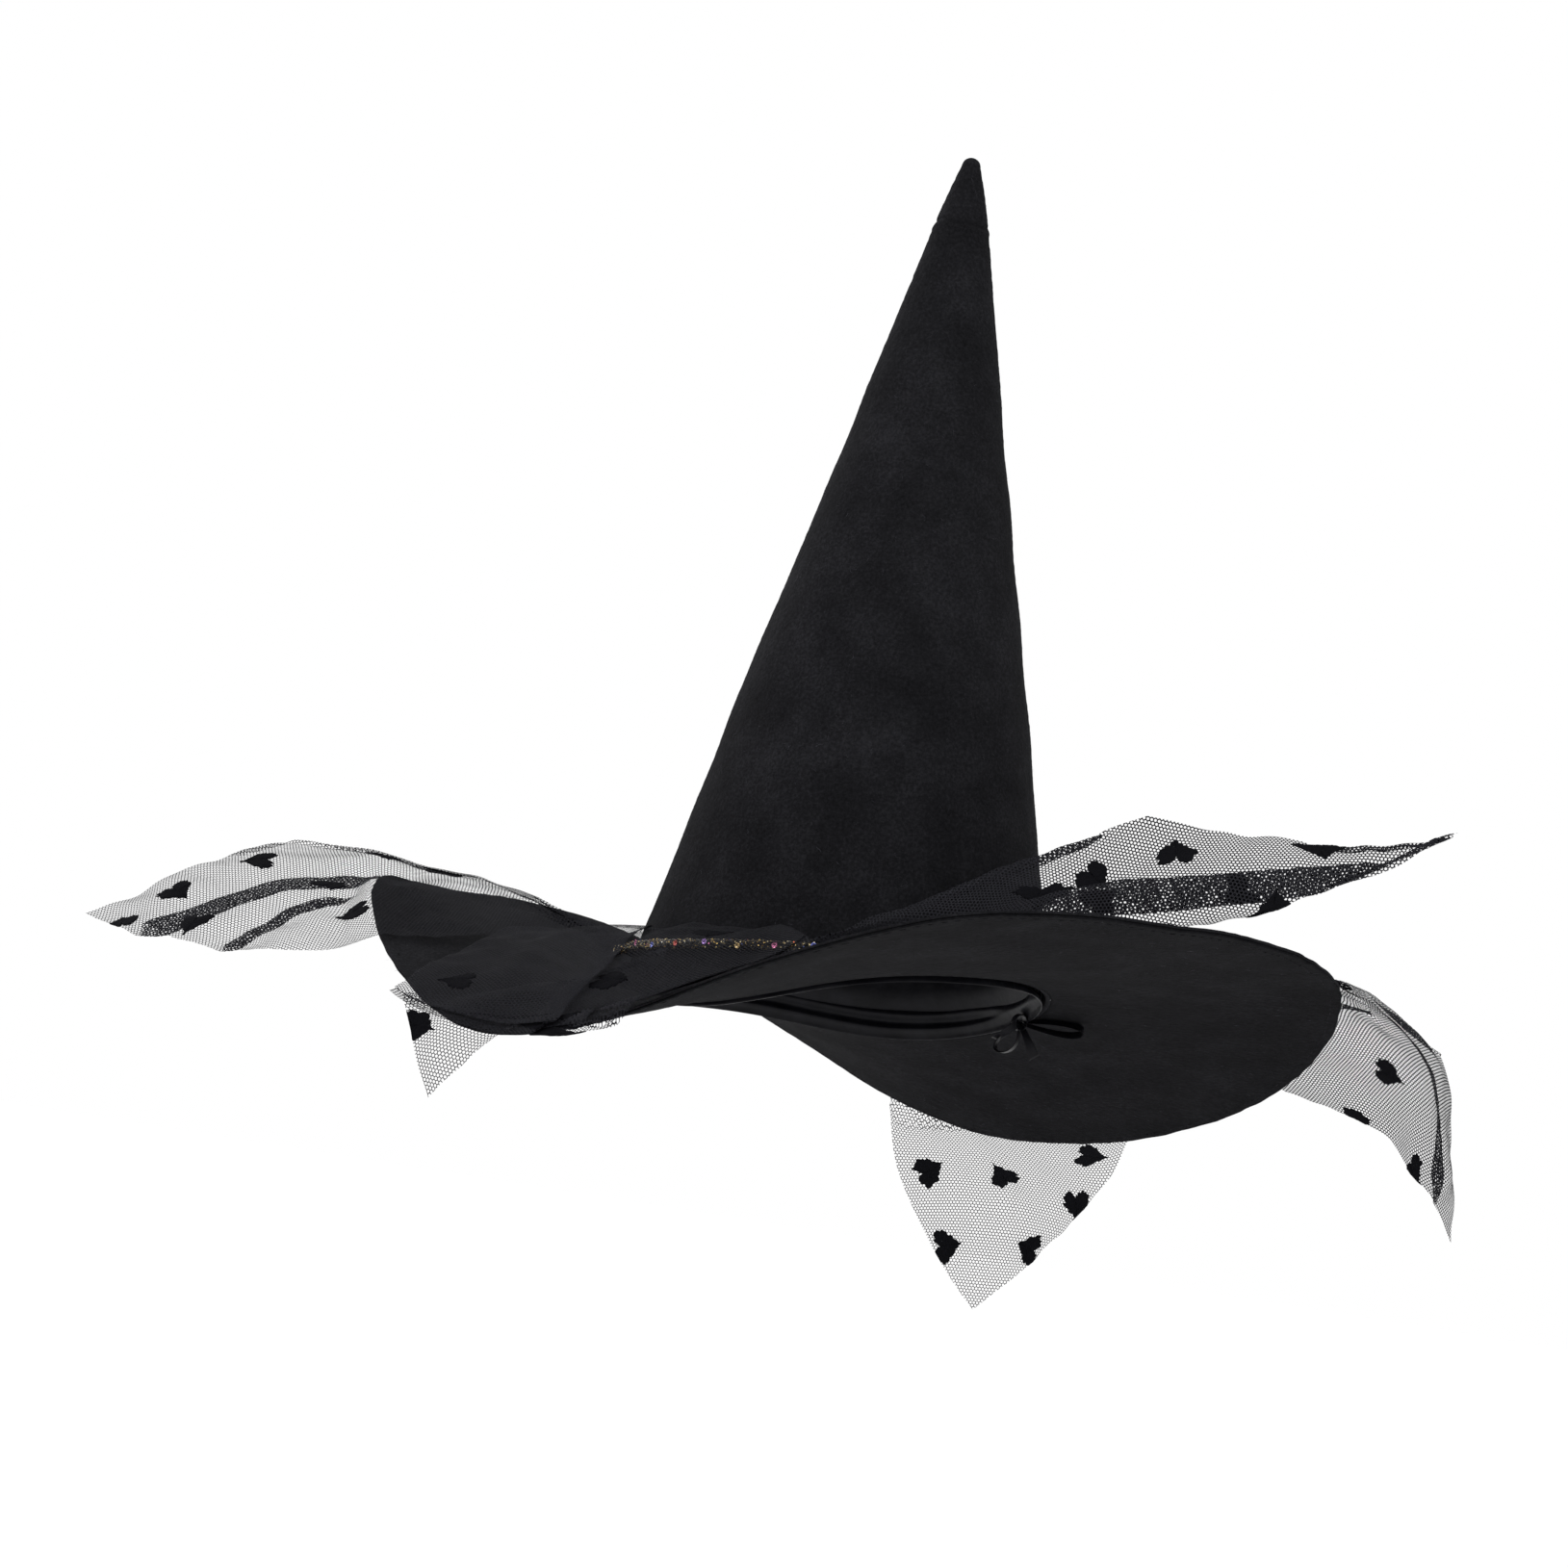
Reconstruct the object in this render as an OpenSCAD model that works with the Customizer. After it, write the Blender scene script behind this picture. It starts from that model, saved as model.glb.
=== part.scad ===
// Witch hat: felt cone crown with a folding tip, wavy two-ply brim,
// head ring, glitter band and seven square tulle petals.
// Frame: the head ring's axis is Z, +Z up to the tip, z = 0 is 3 mm above the ring's
// lower edge, the hat's front is towards -Y. Millimetres.

/* [Crown] */
// Outer radius of the crown at its foot
crown_foot_r = 95.6; // [94:0.1:98]
// Height at which the cone's sides would meet
crown_apex_z = 404.6; // [395:0.1:430]
// Thickness of the crown felt
crown_felt_t = 2.2; // [1.6:0.1:2.4]
// Thickness of the stiffening layer and of the lining
liner_t = 0.5; // [0.3:0.1:0.6]

/* [Tip] */
// Height of the crease that the tip folds at
fold_z = 353; // [345:1:356]
// Radius of the tip's round foot
tip_ball_r = 12.5; // [11:0.1:12.8]
// Height of the very top of the hat
tip_top_z = 385; // [380:1:392]

/* [Head ring] */
// Inner radius of the sweatband, which goes round the head
band_r = 87; // [85:0.5:87.5]
// Height of the sweatband
band_h = 16; // [10:1:18]
// Thickness of the sweatband
band_t = 0.9; // [0.6:0.1:1.1]

/* [Brim] */
// Radius of the brim's edge seen from above
brim_r = 217; // [205:1:222]
// How far the brim's outline is shifted to +X
brim_shift = 3; // [0:1:8]
// Thickness of each felt ply
ply_t = 1.1; // [0.8:0.1:1.4]
// Gap between the two plies
ply_gap = 0.2; // [0.1:0.1:0.4]
// Height of the saddle wave at the edge
saddle_h = 39; // [35:1:42]
// How fast the wave grows from the crown to the edge
wave_power = 1.15; // [1:0.05:1.3]
// Share of the edge's wave that the crown's foot follows
foot_share = 0.16; // [0.1:0.02:0.2]
// How far the crown's foot is tilted
foot_tilt = 13.8; // [10:0.2:14]

/* [Trim] */
// Width and height of the glitter band's section
glitter_w = 4.5; // [3:0.5:5]
// Radius of one sequin
sequin_r = 1.3; // [0.8:0.1:1.6]
// Number of sequins on the band
sequin_count = 36; // [12:1:48]

/* [Tulle] */
// Thickness of a tulle petal
tulle_t = 0.5; // [0.4:0.1:0.6]
// Facets along each side of a petal
petal_n = 20; // [14:1:20]

/* [Hidden] */

// Crown: the cone's slope, and the joint between crown and tip.
cone_slope = crown_foot_r / crown_apex_z;
felt_radial_t = crown_felt_t * sqrt(1 + cone_slope * cone_slope);
fold_gap = 0.4;
cup_mouth_r = tip_ball_r - 0.9 + fold_gap / 2;
crown_skirt_z = 25;
crown_top_z = fold_z - 5.7;
tip_skirt_z = fold_z - 8;
tip_felt_t = 2;
tip_nose_r = 4.6;
tip_nose_z = tip_top_z - tip_nose_r;
liner_gap = 0.25;
interlining_foot_z = 20;
interlining_top_z = crown_top_z - 14;
lining_foot_z = 13.5;
lining_top_z = 330;
band_foot_z = -3;

// Brim: edge wave terms as [height, waves per turn, direction of a crest].
wave_terms = [[17, 1, -80], [saddle_h, 2, -38], [4, 3, 35], [7, 4, 10], [4, 5, -25]];
wave_mean = 2;
foot_mean = -2.8;
foot_tilt_direction = -25;
foot_gap = 0.8;
round_n = 72;
brim_n_out = 8;

// Trim that lies round the crown's foot.
trim_gap = 0.5;
trim_mean = 12.5;
trim_tilt = 9.5;
trim_tilt_direction = -22;
glitter_corner = 1.2;
sequin_t = 0.4;
sequin_gap = 0.05;
sequin_stagger = 0.7;
knot_r = 2.6;
knot_length = 12;
knot_gap = 0.1;

// Tulle: where a petal's surface may not go lower.
trim_reach = 1.5;
drape_slope = 5;

// Each petal is a 3 by 3 net of points that its surface passes through:
// [root, half side, corner], [half side, middle, half hem], [corner, half hem, tip].
// Seen from above, the second corner lies clockwise of the first.
net_left = [
    [[-106,   2,  11], [-150, -42,   2], [-200, -82,  -7]],
    [[-187,  60,  32], [-238,  10,  20], [-264, -60, -22]],
    [[-259,  48,  33], [-300,  26,  11], [-341,   8, -16]]];
net_near_left = [
    [[ -46, -94,  16], [ -36,-135,  21], [ -20,-198,  18]],
    [[-100, -86,  12], [ -98,-140,   5], [-106,-212, -34]],
    [[-148, -82,   6], [-170,-130, -14], [-184,-178, -28]]];
net_near_left_under = [
    [[ -78, -72,   3], [ -98,-130, -15], [-135,-178, -36]],
    [[-132,-106, -18], [-150,-150, -30], [-151,-172, -55]],
    [[-182,-145, -30], [-172,-158, -51], [-163,-165, -70]]];
net_near_right = [
    [[ -18,-104,  18], [  41,-110,  54], [ 112,-124,  92]],
    [[  58,-134,  26], [ 122,-150,  62], [ 175,-134,  94]],
    [[ 142,-168,  50], [ 198,-152,  76], [ 240,-148, 105]]];
net_right = [
    [[ 106,   6,  24], [ 158,  46,  12], [ 215,  92, -10]],
    [[ 184, -24,  48], [ 243,  18,  22], [ 261,  62, -25]],
    [[ 262, -38,  16], [ 277, -10, -11], [ 288,   2, -66]]];
net_far_right = [
    [[  43,  96,  14], [  36, 158, -18], [  38, 222, -46]],
    [[  96, 138, -22], [ 100, 222, -66], [  54, 232, -90]],
    [[ 157, 193, -46], [ 136, 218, -90], [  95, 236,-141]]];
net_far_left = [
    [[ -56,  90,   8], [-100, 104,   0], [-142, 112,   0]],
    [[ -38, 140, -10], [ -90, 142,   0], [-130, 158,   0]],
    [[ -20, 190, -20], [ -66, 186,  -4], [-104, 182,   6]]];

// Petal settings: [lift over the brim, reach past the edge, outward share of thickness].
hug_left = [1.8, 8, 0.6];
hug_near_left = [3.4, 12, 0.6];
hug_near_left_under = [1.8, 5, 0.7];
hug_near_right = [3.4, 7, 0.8];
hug_right = [1.2, 6, 0.7];
hug_far_right = [3.2, 5, 0.8];
hug_far_left = [1.2, 4, 0];

$fn = 96;

// Height of the brim's edge in a direction.
function edge_z(angle) =
    wave_mean + sum([for (w = wave_terms) w[0] * cos(w[1] * (angle - w[2]))]);
function sum(v, i = 0, start = 0) =
    i < len(v) ? v[i] + sum(v, i + 1, start) : start;

// Plan radius of the brim's edge in a direction.
function edge_r(angle) = brim_r + brim_shift * cos(angle);

function crown_r(z) = (crown_apex_z - z) * cone_slope;

// Height and plan radius of the brim's inner edge in a direction.
function foot_z(angle) =
    foot_mean + foot_share * edge_z(angle) + foot_tilt * cos(angle - foot_tilt_direction);
function foot_r(angle) = crown_r(foot_z(angle)) + foot_gap;

// Height of the surface midway between the two plies.
function brim_z(r, angle) =
    let (rise = max(0, (r - foot_r(angle)) / (edge_r(angle) - foot_r(angle))))
    foot_z(angle) + (edge_z(angle) - foot_z(angle)) * pow(rise, wave_power);

// Height of the glitter band's underside and radius of its inner face in a direction.
function trim_z(angle) = trim_mean + trim_tilt * cos(angle - trim_tilt_direction);
function trim_r(angle) = crown_r(trim_z(angle)) + trim_gap;

// Closed solid between two matching grids of points: rows by columns.
// A closed ring of columns joins its last column to its first.
module slab(upper, lower, ring = false) {
    rows = len(upper);
    cols = len(upper[0]);
    points = concat([for (row = upper) each row], [for (row = lower) each row]);
    under = rows * cols;
    spans = ring ? cols : cols - 1;
    function at(i, j) = i * cols + j % cols;
    top_faces = [for (i = [0:rows - 2], j = [0:spans - 1]) each [
        [at(i, j), at(i, j + 1), at(i + 1, j + 1)],
        [at(i, j), at(i + 1, j + 1), at(i + 1, j)]]];
    under_faces = [for (f = top_faces) [f[2] + under, f[1] + under, f[0] + under]];
    row_walls = [for (j = [0:spans - 1]) each concat(
        wall(at(0, j), at(0, j + 1), under),
        wall(at(rows - 1, j + 1), at(rows - 1, j), under))];
    col_walls = ring ? [] : [for (i = [0:rows - 2]) each concat(
        wall(at(i + 1, 0), at(i, 0), under),
        wall(at(i, cols - 1), at(i + 1, cols - 1), under))];
    polyhedron(points, concat(top_faces, under_faces, row_walls, col_walls), convexity = 8);
}
function wall(a, b, under) = [[b, a, a + under], [b, a + under, b + under]];

// Directions of the points of every ring that follows the wave.
round_angles = [for (j = [0:round_n - 1]) 360 * j / round_n];

module brim_ply(low, high) {
    function row_r(i, angle) = foot_r(angle) + (edge_r(angle) - foot_r(angle)) * i / brim_n_out;
    function rows(offset_z) = [for (i = [0:brim_n_out]) [for (angle = round_angles)
        let (r = row_r(i, angle))
        [r * cos(angle), r * sin(angle), brim_z(r, angle) + offset_z]]];
    slab(rows(high), rows(low), ring = true);
}

// Lowest height a petal may have at a point, so that it clears trim and brim.
function floor_z(x, y, hug) =
    let (r = norm([x, y]), angle = atan2(y, x), edge = edge_r(angle))
    r < trim_r(angle) + glitter_w + trim_reach ? trim_z(angle) + glitter_w + 1 :
    brim_z(min(r, edge), angle) + ply_gap / 2 + ply_t + hug[0]
        - drape_slope * max(0, r - edge - hug[1]);

// Quadratic weights that pass through three evenly spaced points.
function weights(t) = [(1 - t) * (1 - 2 * t), 4 * t * (1 - t), t * (2 * t - 1)];
function net_point(net, u, v) =
    let (a = weights(u), b = weights(v))
    sum([for (i = [0:2], j = [0:2]) a[i] * b[j] * net[i][j]], 0, [0, 0, 0]);
function petal_point(net, u, v, hug) =
    let (p = net_point(net, u, v))
    [p.x, p.y, max(p.z, floor_z(p.x, p.y, hug))];

module petal(net, hug) {
    lower = [for (i = [0:petal_n]) [for (j = [0:petal_n])
        petal_point(net, i / petal_n, j / petal_n, hug)]];
    upper = [for (row = lower) [for (p = row)
        let (out = [p.x, p.y, 0] / norm([p.x, p.y]))
        p + out * tulle_t * hug[2] + [0, 0, tulle_t]]];
    color([0.1, 0.1, 0.11, 0.7]) slab(upper, lower);
}

// Conical sheet turned about Z: outer radius follows the crown, less an inset.
module cone_sheet(low_z, high_z, inset, t) {
    rotate_extrude() polygon([
        [crown_r(low_z) - inset - t, low_z], [crown_r(low_z) - inset, low_z],
        [crown_r(high_z) - inset, high_z], [crown_r(high_z) - inset - t, high_z]]);
}

// The crown's foot is tilted and follows the brim's wave; its top leaves room for the tip's round foot.
module crown_felt() {
    heights = [crown_skirt_z, crown_top_z - 147, crown_top_z - 6, crown_top_z];
    function ring_at(r, z) = [for (angle = round_angles) [r * cos(angle), r * sin(angle), z]];
    function foot_ring(inset) = [for (angle = round_angles)
        let (z = foot_z(angle) - ply_gap / 2 - ply_t, r = crown_r(z) - inset)
        [r * cos(angle), r * sin(angle), z]];
    outer = concat([foot_ring(0)], [for (z = heights) ring_at(crown_r(z), z)]);
    inner = concat([foot_ring(felt_radial_t)], [for (z = heights)
        ring_at(max(crown_r(z) - felt_radial_t, z == crown_top_z ? cup_mouth_r : 0), z)]);
    color([0.1, 0.1, 0.12]) slab(inner, outer, ring = true);
}

module crown_interlining() {
    color("gray")
        cone_sheet(interlining_foot_z, interlining_top_z, felt_radial_t + liner_gap, liner_t);
}

module crown_lining() {
    color([0.06, 0.06, 0.08])
        cone_sheet(lining_foot_z, lining_top_z, felt_radial_t + 2 * liner_gap + liner_t, liner_t);
}

module crown_tip() {
    shoulder_r = crown_r(fold_z);
    color([0.12, 0.12, 0.14]) difference() {
        union() {
            translate([0, 0, fold_z]) sphere(r = tip_ball_r);
            translate([0, 0, fold_z + 1])
                cylinder(r1 = shoulder_r, r2 = tip_nose_r, h = tip_nose_z - fold_z - 1);
            translate([0, 0, tip_nose_z]) sphere(r = tip_nose_r);
        }
        translate([0, 0, fold_z]) sphere(r = tip_ball_r - tip_felt_t);
        translate([0, 0, tip_skirt_z - tip_ball_r])
            cylinder(r = 2 * tip_ball_r, h = tip_ball_r);
    }
}

module sweatband() {
    color([0.07, 0.07, 0.09]) translate([0, 0, band_foot_z]) difference() {
        cylinder(r = band_r + band_t, h = band_h);
        translate([0, 0, -1]) cylinder(r = band_r, h = band_h + 2);
    }
}

// Flat ribbon bow outside the ring, under the brim: two loops, a knot and two tails.
module sweatband_bow() {
    bow_angle = 5;
    bow_t = 1.4;
    loop_length = 14;
    loop_w = 8;
    knot_w = 6;
    tail_w = 5;
    tail_h = 9;
    bow_gap = 1.3;
    bow_z = 3.5;
    color([0.08, 0.08, 0.1]) rotate([0, 0, bow_angle]) translate([band_r + band_t + bow_gap, 0, bow_z]) {
        for (side = [-1, 1]) {
            translate([0, side * (knot_w / 2 + loop_length / 2 - 1), 0])
                cube([bow_t, loop_length, loop_w], center = true);
            translate([0, side * knot_w / 2, -loop_w / 2 - tail_h / 2 + 1])
                cube([bow_t, tail_w, tail_h], center = true);
        }
        cube([bow_t + 1, knot_w, loop_w], center = true);
    }
}

module brim_top_felt() {
    color([0.11, 0.11, 0.13])
        brim_ply(ply_gap / 2, ply_gap / 2 + ply_t);
}

module brim_under_felt() {
    color([0.14, 0.14, 0.16])
        brim_ply(-ply_gap / 2 - ply_t, -ply_gap / 2);
}

module glitter_band() {
    // Section as [distance out, low height, high height], with cut corners.
    section = [
        [0, glitter_corner, glitter_w - glitter_corner], [glitter_corner, 0, glitter_w],
        [glitter_w - glitter_corner, 0, glitter_w],
        [glitter_w, glitter_corner, glitter_w - glitter_corner]];
    function rows(side) = [for (p = section) [for (angle = round_angles)
        let (r = trim_r(angle) + p[0])
        [r * cos(angle), r * sin(angle), trim_z(angle) + p[side]]]];
    color([0.75, 0.6, 0.25]) slab(rows(2), rows(1), ring = true);
}

// Where the band's two ends are tied together at the left.
module glitter_knot() {
    color([0.8, 0.65, 0.3])
        translate([-(trim_r(180) + glitter_w + knot_r + knot_gap), 0, trim_z(180) + glitter_w / 2])
        rotate([90, 0, 0]) union() {
            cylinder(r = knot_r, h = knot_length, center = true);
            for (side = [-1, 1]) translate([0, 0, side * knot_length / 2]) sphere(r = knot_r);
        }
}

module band_sequins() {
    step = 360 / sequin_count;
    color([0.85, 0.5, 0.6]) for (k = [0:sequin_count - 1]) let (angle = k * step)
        if (abs(angle - 180) > 1.5 * step)
            rotate([0, 0, angle])
                translate([trim_r(angle) + glitter_w + sequin_gap, 0,
                           trim_z(angle) + glitter_w / 2 + (k % 3 - 1) * sequin_stagger])
                rotate([0, 90, 0]) cylinder(r = sequin_r, h = sequin_t);
}

module tulle_left() { petal(net_left, hug_left); }
module tulle_near_left() { petal(net_near_left, hug_near_left); }
module tulle_near_left_under() { petal(net_near_left_under, hug_near_left_under); }
module tulle_near_right() { petal(net_near_right, hug_near_right); }
module tulle_right() { petal(net_right, hug_right); }
module tulle_far_right() { petal(net_far_right, hug_far_right); }
module tulle_far_left() { petal(net_far_left, hug_far_left); }

crown_felt();
crown_interlining();
crown_lining();
crown_tip();
sweatband();
sweatband_bow();
brim_top_felt();
brim_under_felt();
glitter_band();
glitter_knot();
band_sequins();
tulle_left();
tulle_near_left();
tulle_near_left_under();
tulle_near_right();
tulle_right();
tulle_far_right();
tulle_far_left();
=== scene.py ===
import math

import bpy
import numpy as np
from mathutils import Matrix, Vector


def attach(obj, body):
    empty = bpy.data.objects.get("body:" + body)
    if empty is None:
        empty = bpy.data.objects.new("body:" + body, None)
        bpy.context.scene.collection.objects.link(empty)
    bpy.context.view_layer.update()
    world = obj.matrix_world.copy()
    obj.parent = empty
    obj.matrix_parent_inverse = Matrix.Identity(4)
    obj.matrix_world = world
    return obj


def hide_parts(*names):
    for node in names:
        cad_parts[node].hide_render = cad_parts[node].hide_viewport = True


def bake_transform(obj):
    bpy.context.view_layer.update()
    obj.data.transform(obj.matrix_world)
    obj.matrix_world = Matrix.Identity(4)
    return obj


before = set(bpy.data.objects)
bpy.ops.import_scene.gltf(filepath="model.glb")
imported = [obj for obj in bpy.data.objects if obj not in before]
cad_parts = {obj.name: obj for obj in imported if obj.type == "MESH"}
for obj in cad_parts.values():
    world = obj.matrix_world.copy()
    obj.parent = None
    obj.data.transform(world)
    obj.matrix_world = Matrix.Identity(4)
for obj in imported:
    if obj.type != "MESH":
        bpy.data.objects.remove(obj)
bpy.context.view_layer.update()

# Witch hat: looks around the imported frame. Metres, +Z up, the hat's front towards -Y.
MM = 0.001

# Crown and tip, as in the CAD.
CROWN_FOOT_R = 95.6 * MM
CROWN_APEX_Z = 404.6 * MM
CONE_SLOPE = CROWN_FOOT_R / CROWN_APEX_Z
CROWN_FELT_T = 2.2 * MM
CROWN_TOP_Z = 347.3 * MM
FOLD_Z = 353 * MM
TIP_TOP_Z = 385 * MM
# The tip's looks are 0.2 mm slimmer than the CAD's.
TIP_NOSE_R = 4.4 * MM
TIP_FOOT_R = 12.3 * MM

# Brim, as in the CAD. Wave terms are height, waves per turn and direction of a crest.
WAVE_TERMS = ((17 * MM, 1, -80), (39 * MM, 2, -38), (4 * MM, 3, 35), (7 * MM, 4, 10), (4 * MM, 5, -25))
WAVE_MEAN = 2 * MM
WAVE_POWER = 1.15
FOOT_MEAN = -2.8 * MM
FOOT_SHARE = 0.16
FOOT_TILT = 13.8 * MM
FOOT_TILT_DIRECTION = -25
FOOT_GAP = 0.8 * MM
# The looks close the gap that the CAD keeps: the brim reaches in and a thick thread covers it.
SEAM_CLOSE = 0.45 * MM
SEAM_R = 0.42 * MM
BRIM_R = 217 * MM
BRIM_SHIFT = 3 * MM
PLY_T = 1.1 * MM
PLY_GAP = 0.2 * MM

# Stitches near the edge: how many, how much of each step is thread, and how far out they lie.
STITCH_COUNT = 250
STITCH_SHARE = 0.62
STITCH_PLACE = 1 - 4.2 / 119

# Head ring and trim, as in the CAD.
BAND_R = 87 * MM
BAND_H = 16 * MM
BAND_FOOT_Z = -3 * MM
LINING_INSET = 3.3 * MM
LINING_TOP_Z = 330 * MM
GLITTER_W = 4.5 * MM
TRIM_GAP = 0.5 * MM
TRIM_MEAN = 12.5 * MM
TRIM_TILT = 9.5 * MM
TRIM_TILT_DIRECTION = -22
SEQUIN_COUNT = 36
SEQUIN_R = 1.3 * MM

# Looks of the felt. The crown's rows follow the wavy foot up to the fade, and the crease has
# a groove with a low ridge below it.
FOOT_FADE = 40 * MM
CREASE_DEPTH = 0.9 * MM
CREASE_W = 0.8 * MM
RIDGE_H = 0.4 * MM
RIDGE_W = 1.5 * MM
RIDGE_BELOW = 2.6 * MM

# Looks inside the crown: the lining's bulge over the foot, the share of the foot's wave that the
# visual sweatband follows, and its whip stitches.
LINING_BULGE = 5.5 * MM
LINING_BULGE_Z = 14 * MM
LINING_BULGE_W = 9 * MM
SEW_SHARE = 0.92
WHIP_COUNT = 150

# Bow: the CAD holds it at 5 degrees. The looks turn it to where the ribbon ends show.
BOW_ANGLE = 20
BOW_R = 88 * MM
BOW_DROP = 3.4 * MM
RIBBON_SIDES = 14

# Looks of the glitter: how far the knot stands off the CAD's band, and the loose flakes.
KNOT_OUT = 2.4 * MM
KNOT_DROP = 1.0 * MM
BAND_FLAKES = 1000
KNOT_FLAKES = 330
FLAKE_R = 0.36 * MM

# Tulle.
TULLE_T = 0.06 * MM
NET_CELL = 1.7 * MM
# Half a thread in shares of a cell, and how much thicker it reads where the net is gathered.
NET_THREAD = 0.105
GATHER_THREAD = 0.12
PETAL_N = 121
LAYOUT_STEP = 2
# The looks lie closer to the brim than the CAD's sheets, at this share of their lift.
FLOOR_LIFT = 0.4
# Near the sewn corner, in shares of a side: how far the root draws the net to itself, how far
# its threads crowd, and how far the small gathers run.
ROOT_PULL = 0.09
ROOT_GATHER = 0.10
GATHER_REACH = 0.28
GATHER_H = 1.7 * MM
GATHER_COUNT = 13
HEART_W = 16.2 * MM
HEART_POINTS = 56
HEART_RINGS = (0.28, 0.52, 0.74, 0.9, 1.0)
PILE_H = 0.42 * MM
PILE_SPREAD = 0.10 * MM
PILE_RIM_H = 0.22 * MM
HEART_RAGGED = 0.08
HEART_STEP = 0.03

# Unevenness of felt, braid and net: height and wavelength of each ripple.
FELT_DENTS = ((0.6 * MM, 0.16), (0.3 * MM, 0.045))
FELT_FUZZ = ((0.10 * MM, 0.006), (0.06 * MM, 0.003))
BRIM_SKIN = ((0.07 * MM, 0.005), (0.05 * MM, 0.0026))
BRAID_LUMPS = ((0.22 * MM, 0.0035), (0.16 * MM, 0.0017))
NET_WAVES = ((1.6 * MM, 0.055), (0.55 * MM, 0.02))

SEED = 31


def cosd(angle):
    return np.cos(np.radians(angle))


def sind(angle):
    return np.sin(np.radians(angle))


def edge_z(angle):
    """Height of the brim's edge in a direction."""
    return WAVE_MEAN + sum(h * cosd(n * (angle - crest)) for h, n, crest in WAVE_TERMS)


def edge_r(angle):
    return BRIM_R + BRIM_SHIFT * cosd(angle)


def crown_r(z):
    return (CROWN_APEX_Z - z) * CONE_SLOPE


def foot_z(angle):
    tilt = FOOT_TILT * cosd(angle - FOOT_TILT_DIRECTION)
    return FOOT_MEAN + FOOT_SHARE * edge_z(angle) + tilt


def foot_r(angle):
    return crown_r(foot_z(angle)) + FOOT_GAP


def brim_z(r, angle):
    """Height of the surface midway between the two felt plies."""
    rise = np.maximum(0, (r - foot_r(angle)) / (edge_r(angle) - foot_r(angle)))
    return foot_z(angle) + (edge_z(angle) - foot_z(angle)) * rise ** WAVE_POWER


def trim_z(angle):
    """Height of the glitter band's underside."""
    return TRIM_MEAN + TRIM_TILT * cosd(angle - TRIM_TILT_DIRECTION)


def trim_r(angle):
    return crown_r(trim_z(angle)) + TRIM_GAP


def unit(vectors):
    """Vectors at length 1."""
    return vectors / np.maximum(np.linalg.norm(vectors, axis=-1, keepdims=True), 1e-12)


def compass(angle):
    """Unit directions straight out from the axis and along the circle."""
    return np.array([cosd(angle), sind(angle), 0.0]), np.array([-sind(angle), cosd(angle), 0.0])


def ripple(points, wavelength, seed, waves=9):
    """Smooth noise from about -1 to 1 at points, from plane waves in random directions."""
    draw = np.random.default_rng(seed)
    directions = unit(draw.normal(size=(waves, 3)))
    numbers = 2 * math.pi / wavelength * draw.uniform(0.6, 1.5, waves)
    phases = draw.uniform(0, 2 * math.pi, waves)
    total = np.zeros(points.shape[:-1])
    for direction, number, phase in zip(directions, numbers, phases):
        total += np.sin(points @ direction * number + phase)
    return total / math.sqrt(waves) / 1.2


def unevenness(points, ripples, seed):
    """Ripples of several heights and wavelengths added up, each with the next seed."""
    return sum(h * ripple(points, w, seed + k) for k, (h, w) in enumerate(ripples))


def bell(x, middle, width):
    """1 at middle, and close to 0 two widths away."""
    return np.exp(-(((x - middle) / width) ** 2))


def smooth_step(x):
    x = np.clip(x, 0, 1)
    return x * x * (3 - 2 * x)


# ---------------------------------------------------------------- meshes


def add_object(name, data):
    """A new object that holds data, in the scene."""
    item = bpy.data.objects.new(name, data)
    bpy.context.scene.collection.objects.link(item)
    return item


def mesh_piece(name, points, faces, material, uv=None, smooth=True):
    """A new mesh object from an array of points and an array or list of faces."""
    mesh = bpy.data.meshes.new(name)
    points = np.asarray(points, float).reshape(-1, 3)
    faces = [list(map(int, f)) for f in faces]
    mesh.from_pydata(points.tolist(), [], faces)
    if uv is not None:
        layer = mesh.uv_layers.new(name="net")
        loops = np.zeros(len(mesh.loops), int)
        mesh.loops.foreach_get("vertex_index", loops)
        layer.data.foreach_set("uv", np.asarray(uv, float)[loops].ravel())
    mesh.polygons.foreach_set("use_smooth", [smooth] * len(mesh.polygons))
    mesh.materials.append(material)
    mesh.validate()
    mesh.update()
    return add_object(name, mesh)


def grid_faces(rows, cols, ring_cols=False, ring_rows=False, start=0):
    """Faces of a grid of points, open or closed round either way."""
    i = np.arange(rows if ring_rows else rows - 1)[:, None]
    j = np.arange(cols if ring_cols else cols - 1)[None, :]
    i2 = (i + 1) % rows
    j2 = (j + 1) % cols
    quads = [i * cols + j, i * cols + j2, i2 * cols + j2, i2 * cols + j]
    return np.stack(np.broadcast_arrays(*quads), -1).reshape(-1, 4) + start


def slab_faces(rows, cols):
    """Faces of a closed sheet: an upper grid, a lower grid and a rim."""
    count = rows * cols
    upper = grid_faces(rows, cols)
    lower = grid_faces(rows, cols)[:, ::-1] + count
    rim = list(range(cols))
    rim += [i * cols + cols - 1 for i in range(1, rows)]
    rim += [(rows - 1) * cols + j for j in range(cols - 2, -1, -1)]
    rim += [i * cols for i in range(rows - 2, 0, -1)]
    walls = [[b, a, a + count, b + count] for a, b in zip(rim, rim[1:] + rim[:1])]
    return np.concatenate([upper, lower, np.array(walls)])


def tube_faces(rows, cols, start):
    """Faces of a closed tube of rings, with a flat end on each side."""
    last = start + (rows - 1) * cols
    ends = [list(range(start, start + cols))[::-1], list(range(last, last + cols))]
    return grid_faces(rows, cols, ring_cols=True, start=start).tolist() + ends


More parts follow.
